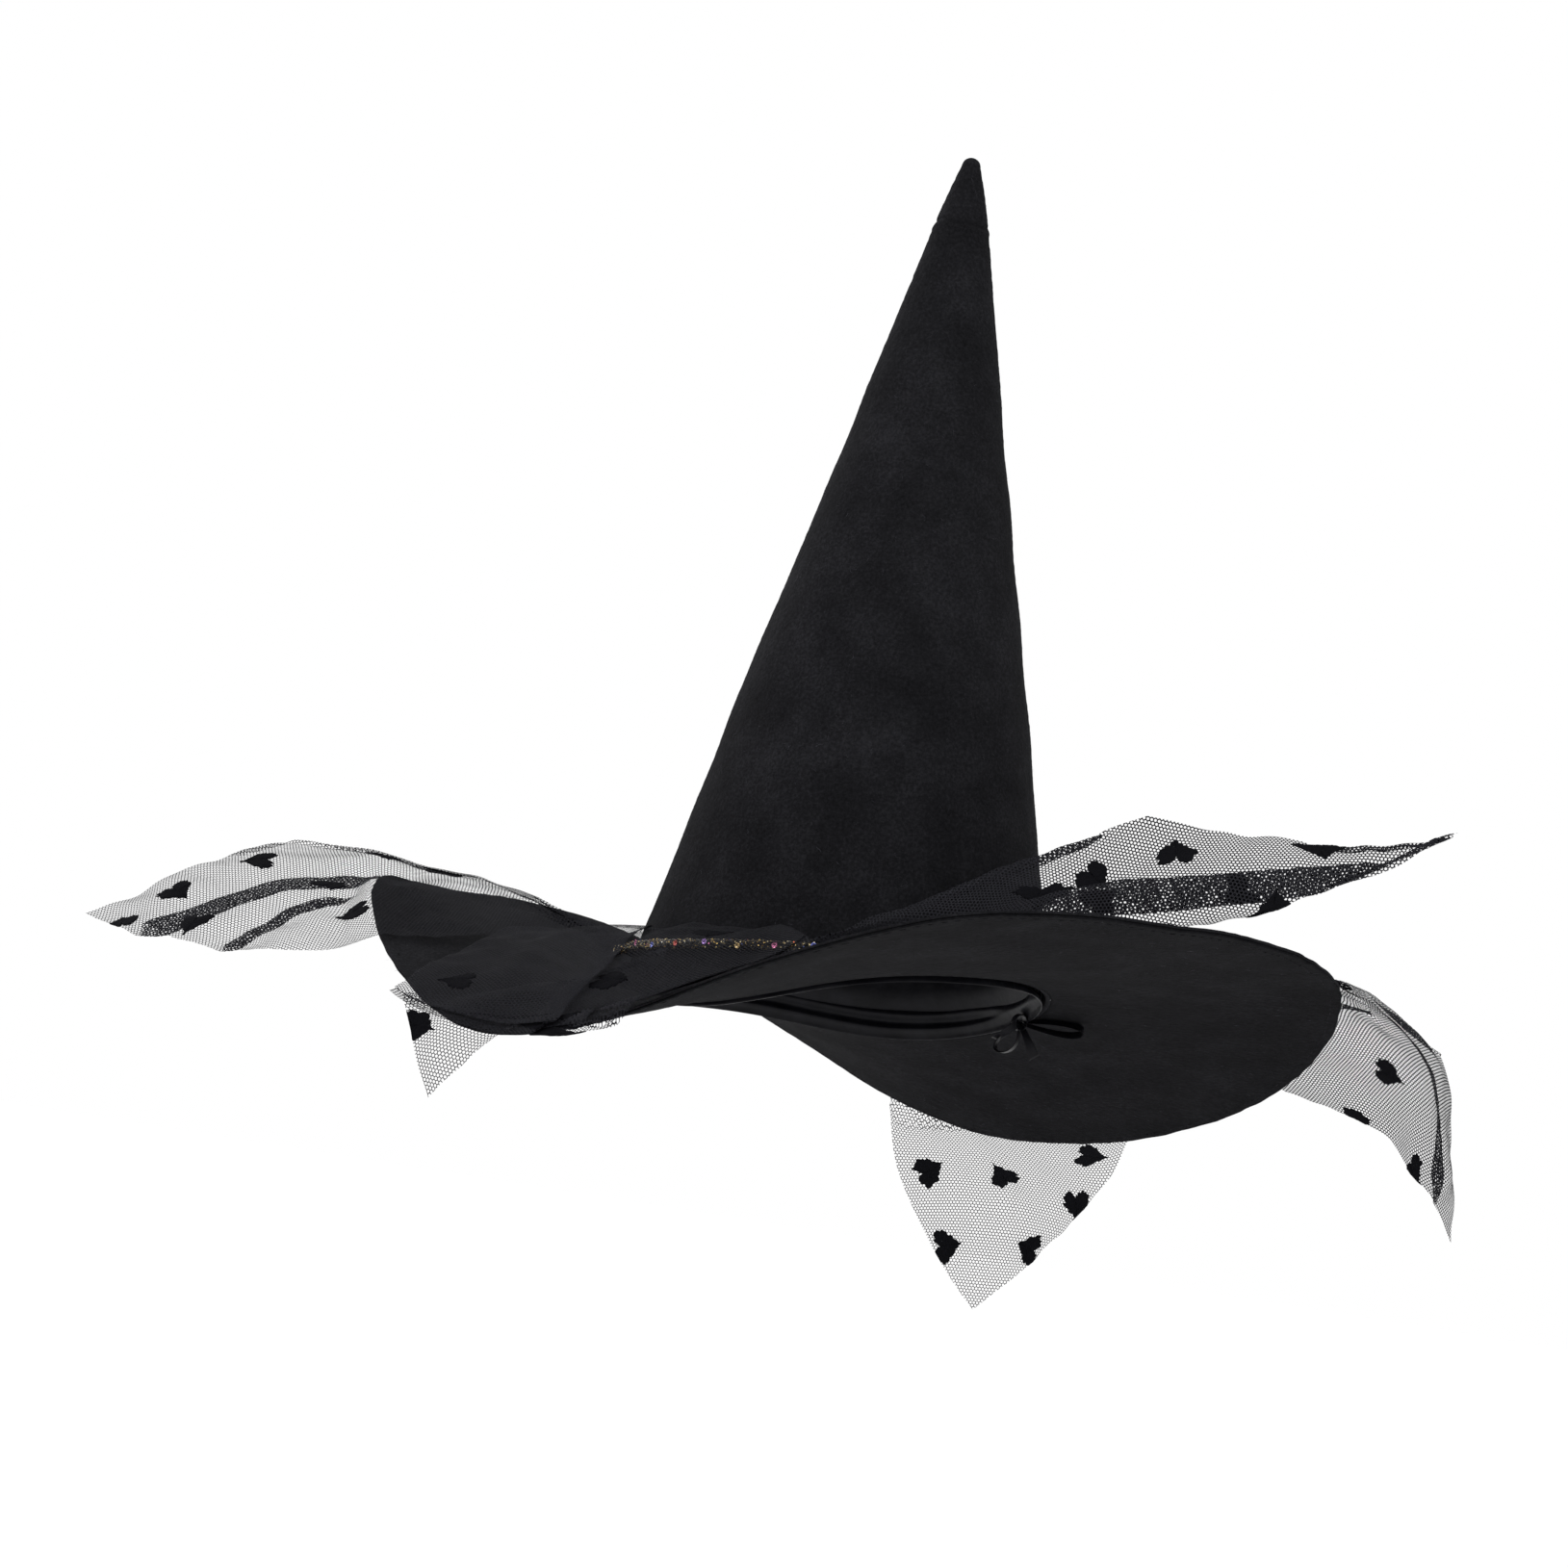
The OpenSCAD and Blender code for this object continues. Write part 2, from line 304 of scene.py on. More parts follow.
def capped_faces(rows, cols):
    """Faces of a stack of rings whose first and last rings close to a point each."""
    body = grid_faces(rows, cols, ring_cols=True).tolist()
    first = rows * cols
    last = first + 1
    top = (rows - 1) * cols
    for j in range(cols):
        body.append([(j + 1) % cols, j, first])
        body.append([top + j, top + (j + 1) % cols, last])
    return body


def surface_normals(points):
    """Unit normals of a grid of points."""
    along = np.gradient(points, axis=0)
    across = np.gradient(points, axis=1)
    return unit(np.cross(along, across))


def turned(r, angle, z):
    return np.stack(np.broadcast_arrays(r * cosd(angle), r * sind(angle), z), -1)


def dress(piece, body, slot, *nodes):
    """Rides a piece on a body and hides the CAD nodes it stands for. The slot is not used."""
    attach(piece, body)
    if nodes:
        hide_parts(*nodes)
    return piece


# ---------------------------------------------------------------- materials


class Nodes:
    """Short forms for building one node material."""

    def __init__(self, name):
        self.material = bpy.data.materials.new(name)
        self.material.use_nodes = True
        self.tree = self.material.node_tree
        self.shader = self.tree.nodes["Principled BSDF"]

    def add(self, kind, **settings):
        node = self.tree.nodes.new("ShaderNode" + kind)
        for key, value in settings.items():
            setattr(node, key, value)
        return node

    def link(self, source, target):
        self.tree.links.new(source, target)

    def feed(self, socket, value):
        if isinstance(value, (int, float, tuple)):
            socket.default_value = value
        else:
            self.link(value, socket)

    def math(self, operation, first, second=0.0, third=0.0):
        node = self.add("Math", operation=operation)
        for socket, value in zip(node.inputs, (first, second, third)):
            self.feed(socket, value)
        return node.outputs[0]

    def vector(self, operation, first, second=(0.0, 0.0, 0.0)):
        node = self.add("VectorMath", operation=operation)
        self.feed(node.inputs[0], first)
        self.feed(node.inputs[1], second)
        return node.outputs[0]

    def place(self, scale=(1.0, 1.0, 1.0)):
        """The piece's own coordinates, stretched by scale."""
        where = self.add("TexCoord").outputs["Object"]
        return self.vector("MULTIPLY", where, tuple(float(s) for s in scale))

    def noise(self, scale, detail=3.0, where=None, roughness=0.55):
        node = self.add("TexNoise")
        self.feed(node.inputs["Vector"], where or self.place())
        node.inputs["Scale"].default_value = scale
        node.inputs["Detail"].default_value = detail
        node.inputs["Roughness"].default_value = roughness
        return node.outputs["Fac"]

    def ramp(self, value, stops):
        node = self.add("ValToRGB")
        elements = node.color_ramp.elements
        for element, (place, color) in zip(elements, (stops[0], stops[-1])):
            element.position = place
            element.color = (*color, 1.0)
        for place, color in stops[1:-1]:
            elements.new(place).color = (*color, 1.0)
        self.link(value, node.inputs["Fac"])
        return node.outputs["Color"]

    def bump(self, height, strength, distance, under=None):
        node = self.add("Bump")
        node.inputs["Strength"].default_value = strength
        node.inputs["Distance"].default_value = distance
        self.link(height, node.inputs["Height"])
        if under is not None:
            self.link(under, node.inputs["Normal"])
        return node.outputs["Normal"]

    def finish(self, color=None, normal=None, alpha=None, roughness=None, **values):
        """Sets the shader's sockets: links for patterns, plain values for the rest."""
        for socket, source in (
            ("Base Color", color), ("Normal", normal), ("Alpha", alpha), ("Roughness", roughness),
        ):
            if source is not None:
                self.feed(self.shader.inputs[socket], source)
        for socket, value in values.items():
            self.shader.inputs[socket.replace("_", " ")].default_value = value
        return self.material


def tone(color, factor):
    return tuple(c * factor for c in color)


def felt_material(name, base, streak=(1.0, 1.0, 1.0)):
    """Matt needled felt: clouded tone, a nap of short fibres and pilled lumps."""
    n = Nodes(name)
    nap = n.noise(700.0, 8.0, n.place(streak), 0.8)
    clouds = n.noise(38.0, 4.0)
    mixed = n.math("MULTIPLY_ADD", nap, 0.75, n.math("MULTIPLY", clouds, 0.3))
    color = n.ramp(mixed, [(0.38, tone(base, 0.45)), (0.53, base), (0.68, tone(base, 2.1))])
    lumps = n.bump(n.noise(330.0, 3.0), 0.35, 0.0009)
    normal = n.bump(nap, 0.6, 0.00045, lumps)
    return n.finish(
        color, normal, Roughness=1.0, Specular_IOR_Level=0.03,
        Sheen_Weight=0.006, Sheen_Roughness=0.5,
    )


def satin_material(name, base, roughness, weave):
    """Woven satin: fine ribs, soft gloss that wanders a little."""
    n = Nodes(name)
    ribs = n.add("TexWave", bands_direction="Z")
    n.feed(ribs.inputs["Vector"], n.place())
    ribs.inputs["Scale"].default_value = weave
    ribs.inputs["Distortion"].default_value = 1.5
    ribs.inputs["Detail"].default_value = 2.0
    worn = n.noise(90.0, 3.0)
    color = n.ramp(worn, [(0.3, tone(base, 0.7)), (0.7, tone(base, 1.5))])
    gloss = n.math("MULTIPLY_ADD", worn, 0.25, roughness - 0.12)
    creases = n.bump(n.noise(120.0, 2.0), 0.3, 0.0012)
    normal = n.bump(ribs.outputs["Fac"], 0.15, 0.0002, creases)
    return n.finish(
        color, normal, roughness=gloss, Specular_IOR_Level=0.09, Anisotropic=0.4,
    )


def interlining_material():
    """Stiffened non-woven: pale, with crossing fibres and pressed dots."""
    n = Nodes("interlining_looks")
    fibres = n.noise(700.0, 8.0, n.place((1.0, 1.0, 0.2)), 0.75)
    dots = n.add("TexVoronoi", feature="F1")
    n.feed(dots.inputs["Vector"], n.place())
    dots.inputs["Scale"].default_value = 500.0
    color = n.ramp(fibres, [(0.3, (0.26, 0.26, 0.27)), (0.7, (0.42, 0.42, 0.43))])
    pressed = n.bump(dots.outputs["Distance"], 0.4, 0.0003)
    return n.finish(color, n.bump(fibres, 0.4, 0.0003, pressed), Roughness=0.9)


def braid_material():
    """Gold glitter braid under its loose flakes: twisted metal yarns and dark gaps."""
    n = Nodes("glitter_braid_looks")
    cells = n.add("TexVoronoi", feature="F1")
    n.feed(cells.inputs["Vector"], n.place())
    cells.inputs["Scale"].default_value = 1500.0
    shades = n.add("SeparateColor")
    n.link(cells.outputs["Color"], shades.inputs["Color"])
    color = n.ramp(shades.outputs[0], [
        (0.0, (0.004, 0.004, 0.004)), (0.85, (0.012, 0.010, 0.008)),
        (0.93, (0.30, 0.20, 0.07)), (1.0, (0.95, 0.8, 0.45))])
    rough = n.math("MULTIPLY_ADD", shades.outputs[1], 0.4, 0.2)
    normal = n.bump(cells.outputs["Distance"], 0.9, 0.0008)
    return n.finish(color, normal, roughness=rough, Metallic=0.75)


def flake_material():
    """Loose glitter: each flake's own colour, with a fine brushed gloss."""
    n = Nodes("glitter_flake_looks")
    tint = n.add("VertexColor", layer_name="tint").outputs["Color"]
    brushed = n.noise(4000.0, 2.0)
    return n.finish(
        tint, n.bump(brushed, 0.2, 0.0001),
        roughness=n.math("MULTIPLY_ADD", brushed, 0.2, 0.12), Metallic=0.85,
    )


def sequin_material():
    """Glossy plastic, each sequin with its own tint, under a clear coat."""
    n = Nodes("sequin_looks")
    tint = n.add("VertexColor", layer_name="tint").outputs["Color"]
    return n.finish(
        tint, n.bump(n.noise(1800.0, 2.0), 0.25, 0.0002),
        roughness=n.math("MULTIPLY_ADD", n.noise(600.0), 0.2, 0.1),
        Metallic=0.5, Coat_Weight=0.6,
    )


def hex_threads(n, thread):
    """1 on the threads of a hexagonal net and 0 in its holes, in the net UV map."""
    uv = n.add("UVMap", uv_map="net").outputs["UV"]
    wobble = n.noise(55.0, 2.0)
    shift = n.vector("SCALE", (0.0007, 0.0007, 0.0))
    shift.node.inputs["Scale"].default_value = 1.0
    n.link(wobble, shift.node.inputs["Scale"])
    placed = n.vector("ADD", uv, shift)
    cells = n.vector("DIVIDE", placed, (NET_CELL, NET_CELL, 1.0))
    pitch = (1.0, math.sqrt(3), 1.0)
    half = tuple(p / 2 for p in pitch)

    def from_centre(where):
        wrapped = n.vector("MODULO", where, pitch)
        wrapped = n.vector("MODULO", n.vector("ADD", wrapped, pitch), pitch)
        split = n.add("SeparateXYZ")
        n.link(n.vector("ABSOLUTE", n.vector("SUBTRACT", wrapped, half)), split.inputs[0])
        slanted = n.math(
            "MULTIPLY_ADD", split.outputs[0], 0.5,
            n.math("MULTIPLY", split.outputs[1], math.sqrt(3) / 2))
        return n.math("MAXIMUM", split.outputs[0], slanted)

    near = n.math("MINIMUM", from_centre(cells), from_centre(n.vector("ADD", cells, half)))
    edge = n.math("SUBTRACT", 0.5, near)
    return n.math("LESS_THAN", edge, thread)


def tulle_material():
    """Black nylon net: hexagonal mesh with open holes and faint yarn gloss."""
    n = Nodes("tulle_looks")
    gather = n.add("Attribute", attribute_name="gather").outputs["Fac"]
    threads = hex_threads(n, n.math("MULTIPLY_ADD", gather, GATHER_THREAD, NET_THREAD))
    yarn = n.noise(2500.0, 2.0)
    color = n.ramp(yarn, [(0.3, (0.009, 0.009, 0.011)), (0.7, (0.028, 0.028, 0.033))])
    return n.finish(
        color, n.bump(yarn, 0.3, 0.0002), threads, Roughness=0.9, Specular_IOR_Level=0.04,
    )


def flock_material():
    """Flocked hearts: deep black with a short pile."""
    n = Nodes("flock_looks")
    pile = n.noise(3200.0, 4.0)
    color = n.ramp(pile, [(0.3, (0.003, 0.003, 0.004)), (0.7, (0.010, 0.010, 0.012))])
    return n.finish(
        color, n.bump(pile, 0.8, 0.0004), Roughness=1.0, Specular_IOR_Level=0.02,
    )


def lint_material(name, base):
    """Loose fibres on the felt, some paler than others."""
    n = Nodes(name)
    shade = n.noise(160.0, 2.0)
    color = n.ramp(shade, [(0.35, tone(base, 0.4)), (0.7, tone(base, 2.2))])
    return n.finish(color, Roughness=0.9, Specular_IOR_Level=0.05)


def floor_material():
    n = Nodes("floor_looks")
    color = n.ramp(n.noise(2.0), [(0.3, (0.93, 0.93, 0.93)), (0.7, (0.95, 0.95, 0.95))])
    return n.finish(
        color, Roughness=0.9, Emission_Color=(1.0, 1.0, 1.0, 1.0), Emission_Strength=0.1,
    )


FELT = felt_material("felt_looks", (0.0104, 0.0104, 0.0119))
# The brim's under ply: the same felt with painted shade. Its colour is darkened to stand for the shade
# under the brim.
UNDER_FELT_PAINTED_SHADE = felt_material("under_felt_painted_shade_looks", (0.0064, 0.0064, 0.0074), (0.6, 1.0, 1.0))
SATIN = satin_material("satin_looks", (0.0058, 0.0058, 0.0072), 0.42, 900.0)
RIBBON = satin_material("ribbon_looks", (0.0050, 0.0050, 0.0064), 0.34, 1400.0)
BRAID = braid_material()
FLAKE = flake_material()
SEQUIN = sequin_material()
TULLE = tulle_material()
FLOCK = flock_material()
LINT = lint_material("lint_looks", (0.055, 0.055, 0.065))
THREAD = lint_material("thread_looks", (0.012, 0.012, 0.014))


# ---------------------------------------------------------------- felt crown and brim


def tip_radius(z):
    """Outer radius of the tip: a slightly full taper that ends in a round nose."""
    share = np.clip((z - FOLD_Z) / (TIP_TOP_Z - TIP_NOSE_R - FOLD_Z), 0, 1)
    taper = TIP_FOOT_R + (TIP_NOSE_R - TIP_FOOT_R) * share + 0.35 * MM * np.sin(math.pi * share)
    rest = np.clip((z - (TIP_TOP_Z - TIP_NOSE_R)) / TIP_NOSE_R, 0, 1)
    return taper * np.sqrt(1 - rest * rest)


def crease_z(angle):
    return FOLD_Z + (0.9 * cosd(2 * angle - 40) + 0.5 * cosd(5 * angle)) * MM


def felt_radius(z, angle):
    """Outer radius of crown and tip together, with the crease between them."""
    above = smooth_step((z - crease_z(angle) + 2.2 * MM) / (3.6 * MM))
    r = crown_r(z) * (1 - above) + tip_radius(z) * above
    groove = bell(z, crease_z(angle), CREASE_W)
    side = 0.65 + 0.35 * cosd(angle + 150)
    ridge = bell(z, crease_z(angle) - RIDGE_BELOW, RIDGE_W)
    return r - CREASE_DEPTH * groove * side + RIDGE_H * ridge


def felt_points(z, angle, inset):
    """Points of the crown's surface with the soft unevenness of hand-shaped felt."""
    plain = turned(felt_radius(z, angle), angle, z)
    height = smooth_step(z / (60 * MM)) * (0.35 + 0.65 * smooth_step((FOLD_Z - z) / (90 * MM)))
    r = felt_radius(z, angle) + unevenness(plain, FELT_DENTS, SEED) * height - inset
    if inset == 0:
        r = r + unevenness(plain, FELT_FUZZ, SEED + 2)
    return turned(np.maximum(r, 0.3 * MM), angle, z)


def crown_rows(top, rows, angle):
    """Heights from the wavy foot up to top."""
    share = np.linspace(0, 1, rows)[:, None]
    foot = foot_z(angle)[None, :] - PLY_GAP / 2 - PLY_T
    level = share * top
    return level + foot * np.maximum(0, 1 - level / FOOT_FADE) ** 1.5


def make_crown_cloth():
    cols = 288
    angle = np.arange(cols) * 360 / cols
    low = crown_rows(CROWN_TOP_Z - 3 * MM, 230, angle)
    tip = np.linspace(CROWN_TOP_Z - 2.5 * MM, TIP_TOP_Z - TIP_NOSE_R, 84)[:, None]
    nose = TIP_TOP_Z - TIP_NOSE_R * (1 - sind(np.linspace(6, 86, 12)[:, None]))
    outer_z = np.concatenate([low, *(np.broadcast_to(z, (len(z), cols)) for z in (tip, nose))])
    outer = felt_points(outer_z, angle[None, :], 0)
    low_in = crown_rows(CROWN_TOP_Z, 90, angle)
    tip_in = np.linspace(CROWN_TOP_Z + 2 * MM, TIP_TOP_Z - 7 * MM, 20)[:, None]
    inner_z = np.concatenate([low_in, np.broadcast_to(tip_in, (20, cols))])
    inner = felt_points(inner_z, angle[None, :], CROWN_FELT_T)
    rows = len(outer) + len(inner)
    grid = np.concatenate([inner[::-1], outer])
    poles = [[0, 0, TIP_TOP_Z - 6.5 * MM], [0, 0, TIP_TOP_Z]]
    points = np.concatenate([grid.reshape(-1, 3), poles])
    piece = mesh_piece("crown_cloth", points, capped_faces(rows, cols), FELT)
    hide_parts("crown_felt", "crown_tip")
    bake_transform(piece)


def brim_point(share, angle, offset):
    """A point of the brim: share runs from the crown's foot to the edge."""
    frayed = 0.35 * MM * ripple(turned(BRIM_R, angle, 0 * angle), 0.012, SEED + 5)
    inner = foot_r(angle) - SEAM_CLOSE
    r = inner + (edge_r(angle) + frayed - inner) * share
    z = brim_z(r, angle) + offset
    points = turned(r, angle, z)
    points[..., 2] += 0.7 * MM * ripple(points, 0.07, SEED + 6) * smooth_step((share - 0.2) / 0.5)
    return points


def make_brim_ply(name, node, side, material, step_back):
    """One felt ply: flat faces and a rounded, slightly uneven cut edge."""
    cols = 360
    angle = (np.arange(cols) * 360 / cols)[None, :]
    width = BRIM_R - CROWN_FOOT_R
    flat = np.linspace(0.0, 1 - (PLY_T / 2 + step_back) / width, 64)
    turn = np.linspace(-80, 80, 9)
    near = side * PLY_GAP / 2
    far = side * (PLY_GAP / 2 + PLY_T)
    middle = (near + far) / 2
    share = np.concatenate([flat, flat[-1] + PLY_T / 2 / width * cosd(turn), flat[::-1]])
    low, high = min(near, far), max(near, far)
    offset = np.concatenate([
        np.full(len(flat), low), middle + PLY_T / 2 * sind(turn), np.full(len(flat), high)])
    points = brim_point(share[:, None], angle, offset[:, None])
    skin = unevenness(points, BRIM_SKIN, SEED + 7)
    points[..., 2] += skin * np.where(offset[:, None] * side > PLY_T, side, 0.0)
    faces = grid_faces(len(share), cols, True, True)
    return dress(mesh_piece(name, points, faces, material), "hat", "felt", node)


def make_foot_seam():
    """The thick sewn seam that closes the gap between the crown's foot and the brim."""
    angle = np.linspace(0, 360, 721)
    twist = 0.07 * MM * sind(angle * 180)
    path = turned(foot_r(angle) - SEAM_R + twist, angle, foot_z(angle))
    return dress(thread_mesh("foot_seam", [(path, SEAM_R)], THREAD, 8), "hat", "felt")


def make_edge_stitches():
    """Running stitches near the brim's edge that hold the two plies together."""
    paths = []
    for k in range(STITCH_COUNT):
        angle = np.linspace(360 * k / STITCH_COUNT, 360 * (k + STITCH_SHARE) / STITCH_COUNT, 6)
        lift = 0.22 * MM * sind(np.linspace(0, 180, 6))
        share = np.full(6, STITCH_PLACE)
        for side in (-1, 1):
            offset = side * (PLY_GAP / 2 + PLY_T + lift - 0.04 * MM)
            paths.append((brim_point(share, angle, offset), 0.16 * MM))
    tubes = thread_mesh("edge_stitches", paths, THREAD)
    return dress(tubes, "hat", "felt")


def tubes_mesh(name, tubes, material):
    """Closed tubes joined in one mesh. A tube is an array of rings of points."""
    points, faces, start = [], [], 0
    for rings in tubes:
        rows, cols = rings.shape[:2]
        points.append(rings.reshape(-1, 3))
        faces += tube_faces(rows, cols, start)
        start += rows * cols
    return mesh_piece(name, np.concatenate(points), faces, material)


def thread_mesh(name, paths, material, sides=5):
    """Many short threads joined in one mesh: each path is swept with a small ring."""
    tubes = []
    for path, radius in paths:
        ahead = unit(np.gradient(path, axis=0))
        aside = unit(np.cross(ahead, [0.13, 0.21, 0.97]))
        over = np.cross(ahead, aside)
        turn = (np.arange(sides) * 360 / sides)[None, :, None]
        taper = np.sqrt(np.maximum(0.12, sind(np.linspace(0, 180, len(path)))))[:, None, None]
        round_it = aside[:, None] * cosd(turn) + over[:, None] * sind(turn)
        tubes.append(path[:, None] + radius * taper * round_it)
    return tubes_mesh(name, tubes, material)


def make_fibres(name, place, count, body, seed, length=(1.2, 4.5)):
    """Short loose fibres on a felt surface. place(a, b) gives points and outward normals."""
    draw = np.random.default_rng(seed)
    paths = []
    for _ in range(count):
        a, b = draw.uniform(size=2)
        heading = draw.uniform(0, 2 * math.pi)
        reach = draw.uniform(*length) * MM
        curl = draw.uniform(-2.5, 2.5)
        rise = draw.uniform(0.1, 0.5) * MM
        steps = np.linspace(0, 1, 5)
        point, normal, east, north = place(a, b)
        bearing = heading + curl * steps
        forward = np.cumsum(np.cos(bearing)) / 5 * reach
        sideways = np.cumsum(np.sin(bearing)) / 5 * reach
        lift = 0.05 * MM + rise * steps ** 2
        path = point + forward[:, None] * east + sideways[:, None] * north + lift[:, None] * normal
        paths.append((path, draw.uniform(0.018, 0.04) * MM))
    return dress(thread_mesh(name, paths, LINT, 3), body, "felt")


def crown_place(low, high):
    """Places on the crown between two heights for make_fibres."""
    def place(a, b):
        angle = 360 * a
        z = low + (high - low) * (1 - math.sqrt(1 - b * 0.97))
        point = felt_points(np.array([z]), np.array([angle]), 0)[0]
        out, east = compass(angle)
        north = unit(np.array([0, 0, 1.0]) - CONE_SLOPE * out)
        return point, np.cross(east, north), east, north
    return place


def brim_place(side):
    """Places on the brim's upper or under face for make_fibres."""
    def place(a, b):
        angle = np.array([360 * a])
        share = np.array([math.sqrt(b) * 0.985 + 0.01])
        offset = side * (PLY_GAP / 2 + PLY_T + 0.02 * MM)
        point = brim_point(share, angle, offset)[0]
        inward = brim_point(share * 0.98, angle, offset)[0] - point
        east = compass(angle[0])[1]
        north = -unit(inward)
        normal = np.cross(east, north) * -side
        if normal[2] * side < 0:
            normal = -normal
        return point, normal, east, north
    return place


# ---------------------------------------------------------------- inside of the crown


def shell_cloth(name, r, z, angle, thickness, material, slot, node):
    """A closed ring of cloth round the axis, from its inner radius and its thickness."""
    grid = np.concatenate([turned(r + thickness, angle, z), turned(r, angle, z)[::-1]])
    faces = grid_faces(len(grid), grid.shape[1], True, True)
    return dress(mesh_piece(name, grid, faces, material), "hat", slot, node)


def make_lining_cloth():
    """Satin lining: a cone of cloth that hangs in long soft folds from the top."""
    cols, rows = 220, 90
    angle = (np.arange(cols) * 360 / cols)[None, :]
    share = np.linspace(0, 1, rows)[:, None]
    foot = foot_z(angle) + 2 * MM
    z = foot + (LINING_TOP_Z - foot) * share
    slack = np.sin(math.pi * np.minimum(1, share * 1.02)) ** 0.6
    plain = turned(crown_r(z) - LINING_INSET, angle, z)
    folds = 0.5 + 0.5 * ripple(plain * [1, 1, 0.25], 0.05, SEED + 11)
    bulge = LINING_BULGE * bell(z - foot, LINING_BULGE_Z, LINING_BULGE_W)
    inward = (3.2 * MM * folds + 0.4 * MM) * slack * (0.25 + 0.75 * (1 - share))
    inward = inward + bulge * (0.6 + 0.4 * folds)
    r = np.maximum(crown_r(z) - LINING_INSET - np.maximum(inward, 0), 1.5 * MM)
    return shell_cloth("lining_cloth", r, z, angle, 0.25 * MM, SATIN, "satin", "crown_lining")


def band_section(share, angle):
    """Inward bulge of the sweatband: long ridges that run together at the bow."""
    gap = np.abs((angle - BOW_ANGLE + 180) % 360 - 180) / 180
    spread = smooth_step(gap * 6)
    first = bell(share, 0.30 + 0.10 * (1 - spread), 0.13)
    second = bell(share, 0.72 - 0.22 * (1 - spread), 0.16)
    return (2.4 * first + 2.8 * second) * MM * (0.55 + 0.45 * spread)


def make_sweatband_cloth():
    """Folded satin ribbon round the opening, sewn to the crown's foot."""
    cols, rows = 300, 26
    angle = (np.arange(cols) * 360 / cols)[None, :]
    share = np.linspace(0, 1, rows)[:, None]
    foot = SEW_SHARE * foot_z(angle) + BAND_FOOT_Z
    z = foot + BAND_H * share
    plain = turned(BAND_R, angle, z)
    ridges = band_section(share, angle) + 0.35 * MM * ripple(plain * [1, 1, 3], 0.03, SEED + 13)
    hold = np.sin(math.pi * np.clip(share, 0.02, 0.98)) ** 0.35
    lean = crown_r(z) - 4.4 * MM
    r = np.minimum(lean, BAND_R + 3.5 * MM) - np.maximum(ridges, 0) * hold
    return shell_cloth("sweatband_cloth", r, z, angle, 0.5 * MM, RIBBON, "ribbon", "sweatband")


def ribbon_mesh(name, runs, material, body, slot, *nodes):
    """Flat ribbons joined in one mesh. A run is centre line, width direction, width, thickness."""
    tubes = []
    for line, aside, width, thickness in runs:
        ahead = unit(np.gradient(line, axis=0))
        aside = np.broadcast_to(aside, line.shape)
        aside = unit(aside - (aside * ahead).sum(1, keepdims=True) * ahead)
        up = np.cross(ahead, aside)
        width = np.broadcast_to(width, len(line))[:, None, None]
        turn = (np.arange(RIBBON_SIDES) * 360 / RIBBON_SIDES)[None, :, None]
        across = np.sign(cosd(turn)) * np.abs(cosd(turn)) ** 0.35 * width / 2
        cup = 0.06 * width * (2 * across / width) ** 2
        raised = sind(turn) * thickness / 2 + cup
        tubes.append(line[:, None] + aside[:, None] * across + up[:, None] * raised)
    return dress(tubes_mesh(name, tubes, material), body, slot, *nodes)


def make_bow():
    """Ribbon bow on the sweatband: two flat loops, a wrapped knot and two cut tails."""
    out, along = compass(BOW_ANGLE)
    x, y, up = np.eye(3)
    centre = out * BOW_R + up * (foot_z(BOW_ANGLE) - BOW_DROP)
    turn = np.linspace(0, 360, 30)[:, None]
    swing = (1 - cosd(turn)) / 2
    runs = []
    # Each loop: its heading, its length, the way it opens and half how far, and its ribbon's width.
    loops = (
        (x * 0.97 - y * 0.24, 27 * MM, up, 3.1 * MM, y * 0.85 + up * 0.5),
        (up * -0.9 - x * 0.4, 14 * MM, x, 5.5 * MM, y * 0.9 + x * 0.3),
    )
    for heading, reach, opening, half, wide in loops:
        line = (centre + heading * (2 * MM + reach * swing)
                + opening * half * sind(turn) * (0.35 + 0.65 * swing))
        runs.append((line, wide, 7 * MM * (0.5 + 0.5 * swing[:, 0]), 0.5 * MM))
    share = np.linspace(0, 1, 16)[:, None]
    # Each tail: how far it drifts to the side and how far it drops.
    for drift, drop in ((9 * MM, 15 * MM), (-10 * MM, 9 * MM)):
        line = centre + x * drift * share - up * drop * share - y * 3 * MM * np.sin(3 * share)
        runs.append((line, x + y * 0.5, 5.5 * MM * (0.55 + 0.45 * share[:, 0]), 0.45 * MM))
    knot = centre + x * 2.9 * MM * cosd(turn) + up * 3.6 * MM * sind(turn)
    runs.append((knot, along, 5 * MM, 0.7 * MM))
    return ribbon_mesh("bow_cloth", runs, RIBBON, "hat", "ribbon", "sweatband_bow")


def make_foot_stitches():
    """Whip stitches that hold the sweatband's upper edge to the lining."""
    paths = []
    for k in range(WHIP_COUNT):
        angle = np.linspace(360 * k / WHIP_COUNT, 360 * (k + 0.5) / WHIP_COUNT, 6)
        z = SEW_SHARE * foot_z(angle) + BAND_FOOT_Z + BAND_H * (1 - 0.08) + np.linspace(0, 1.8 * MM, 6)
        r = crown_r(z) - 5.3 * MM - 0.25 * MM * sind(np.linspace(0, 180, 6))
        paths.append((turned(r, angle, z), 0.14 * MM))
    return dress(thread_mesh("sweatband_stitches", paths, THREAD), "hat", "ribbon")


# ---------------------------------------------------------------- glitter band


def band_centre(angle):
    """Centre line of the glitter band."""
    return turned(trim_r(angle) + GLITTER_W / 2, angle, trim_z(angle) + GLITTER_W / 2)


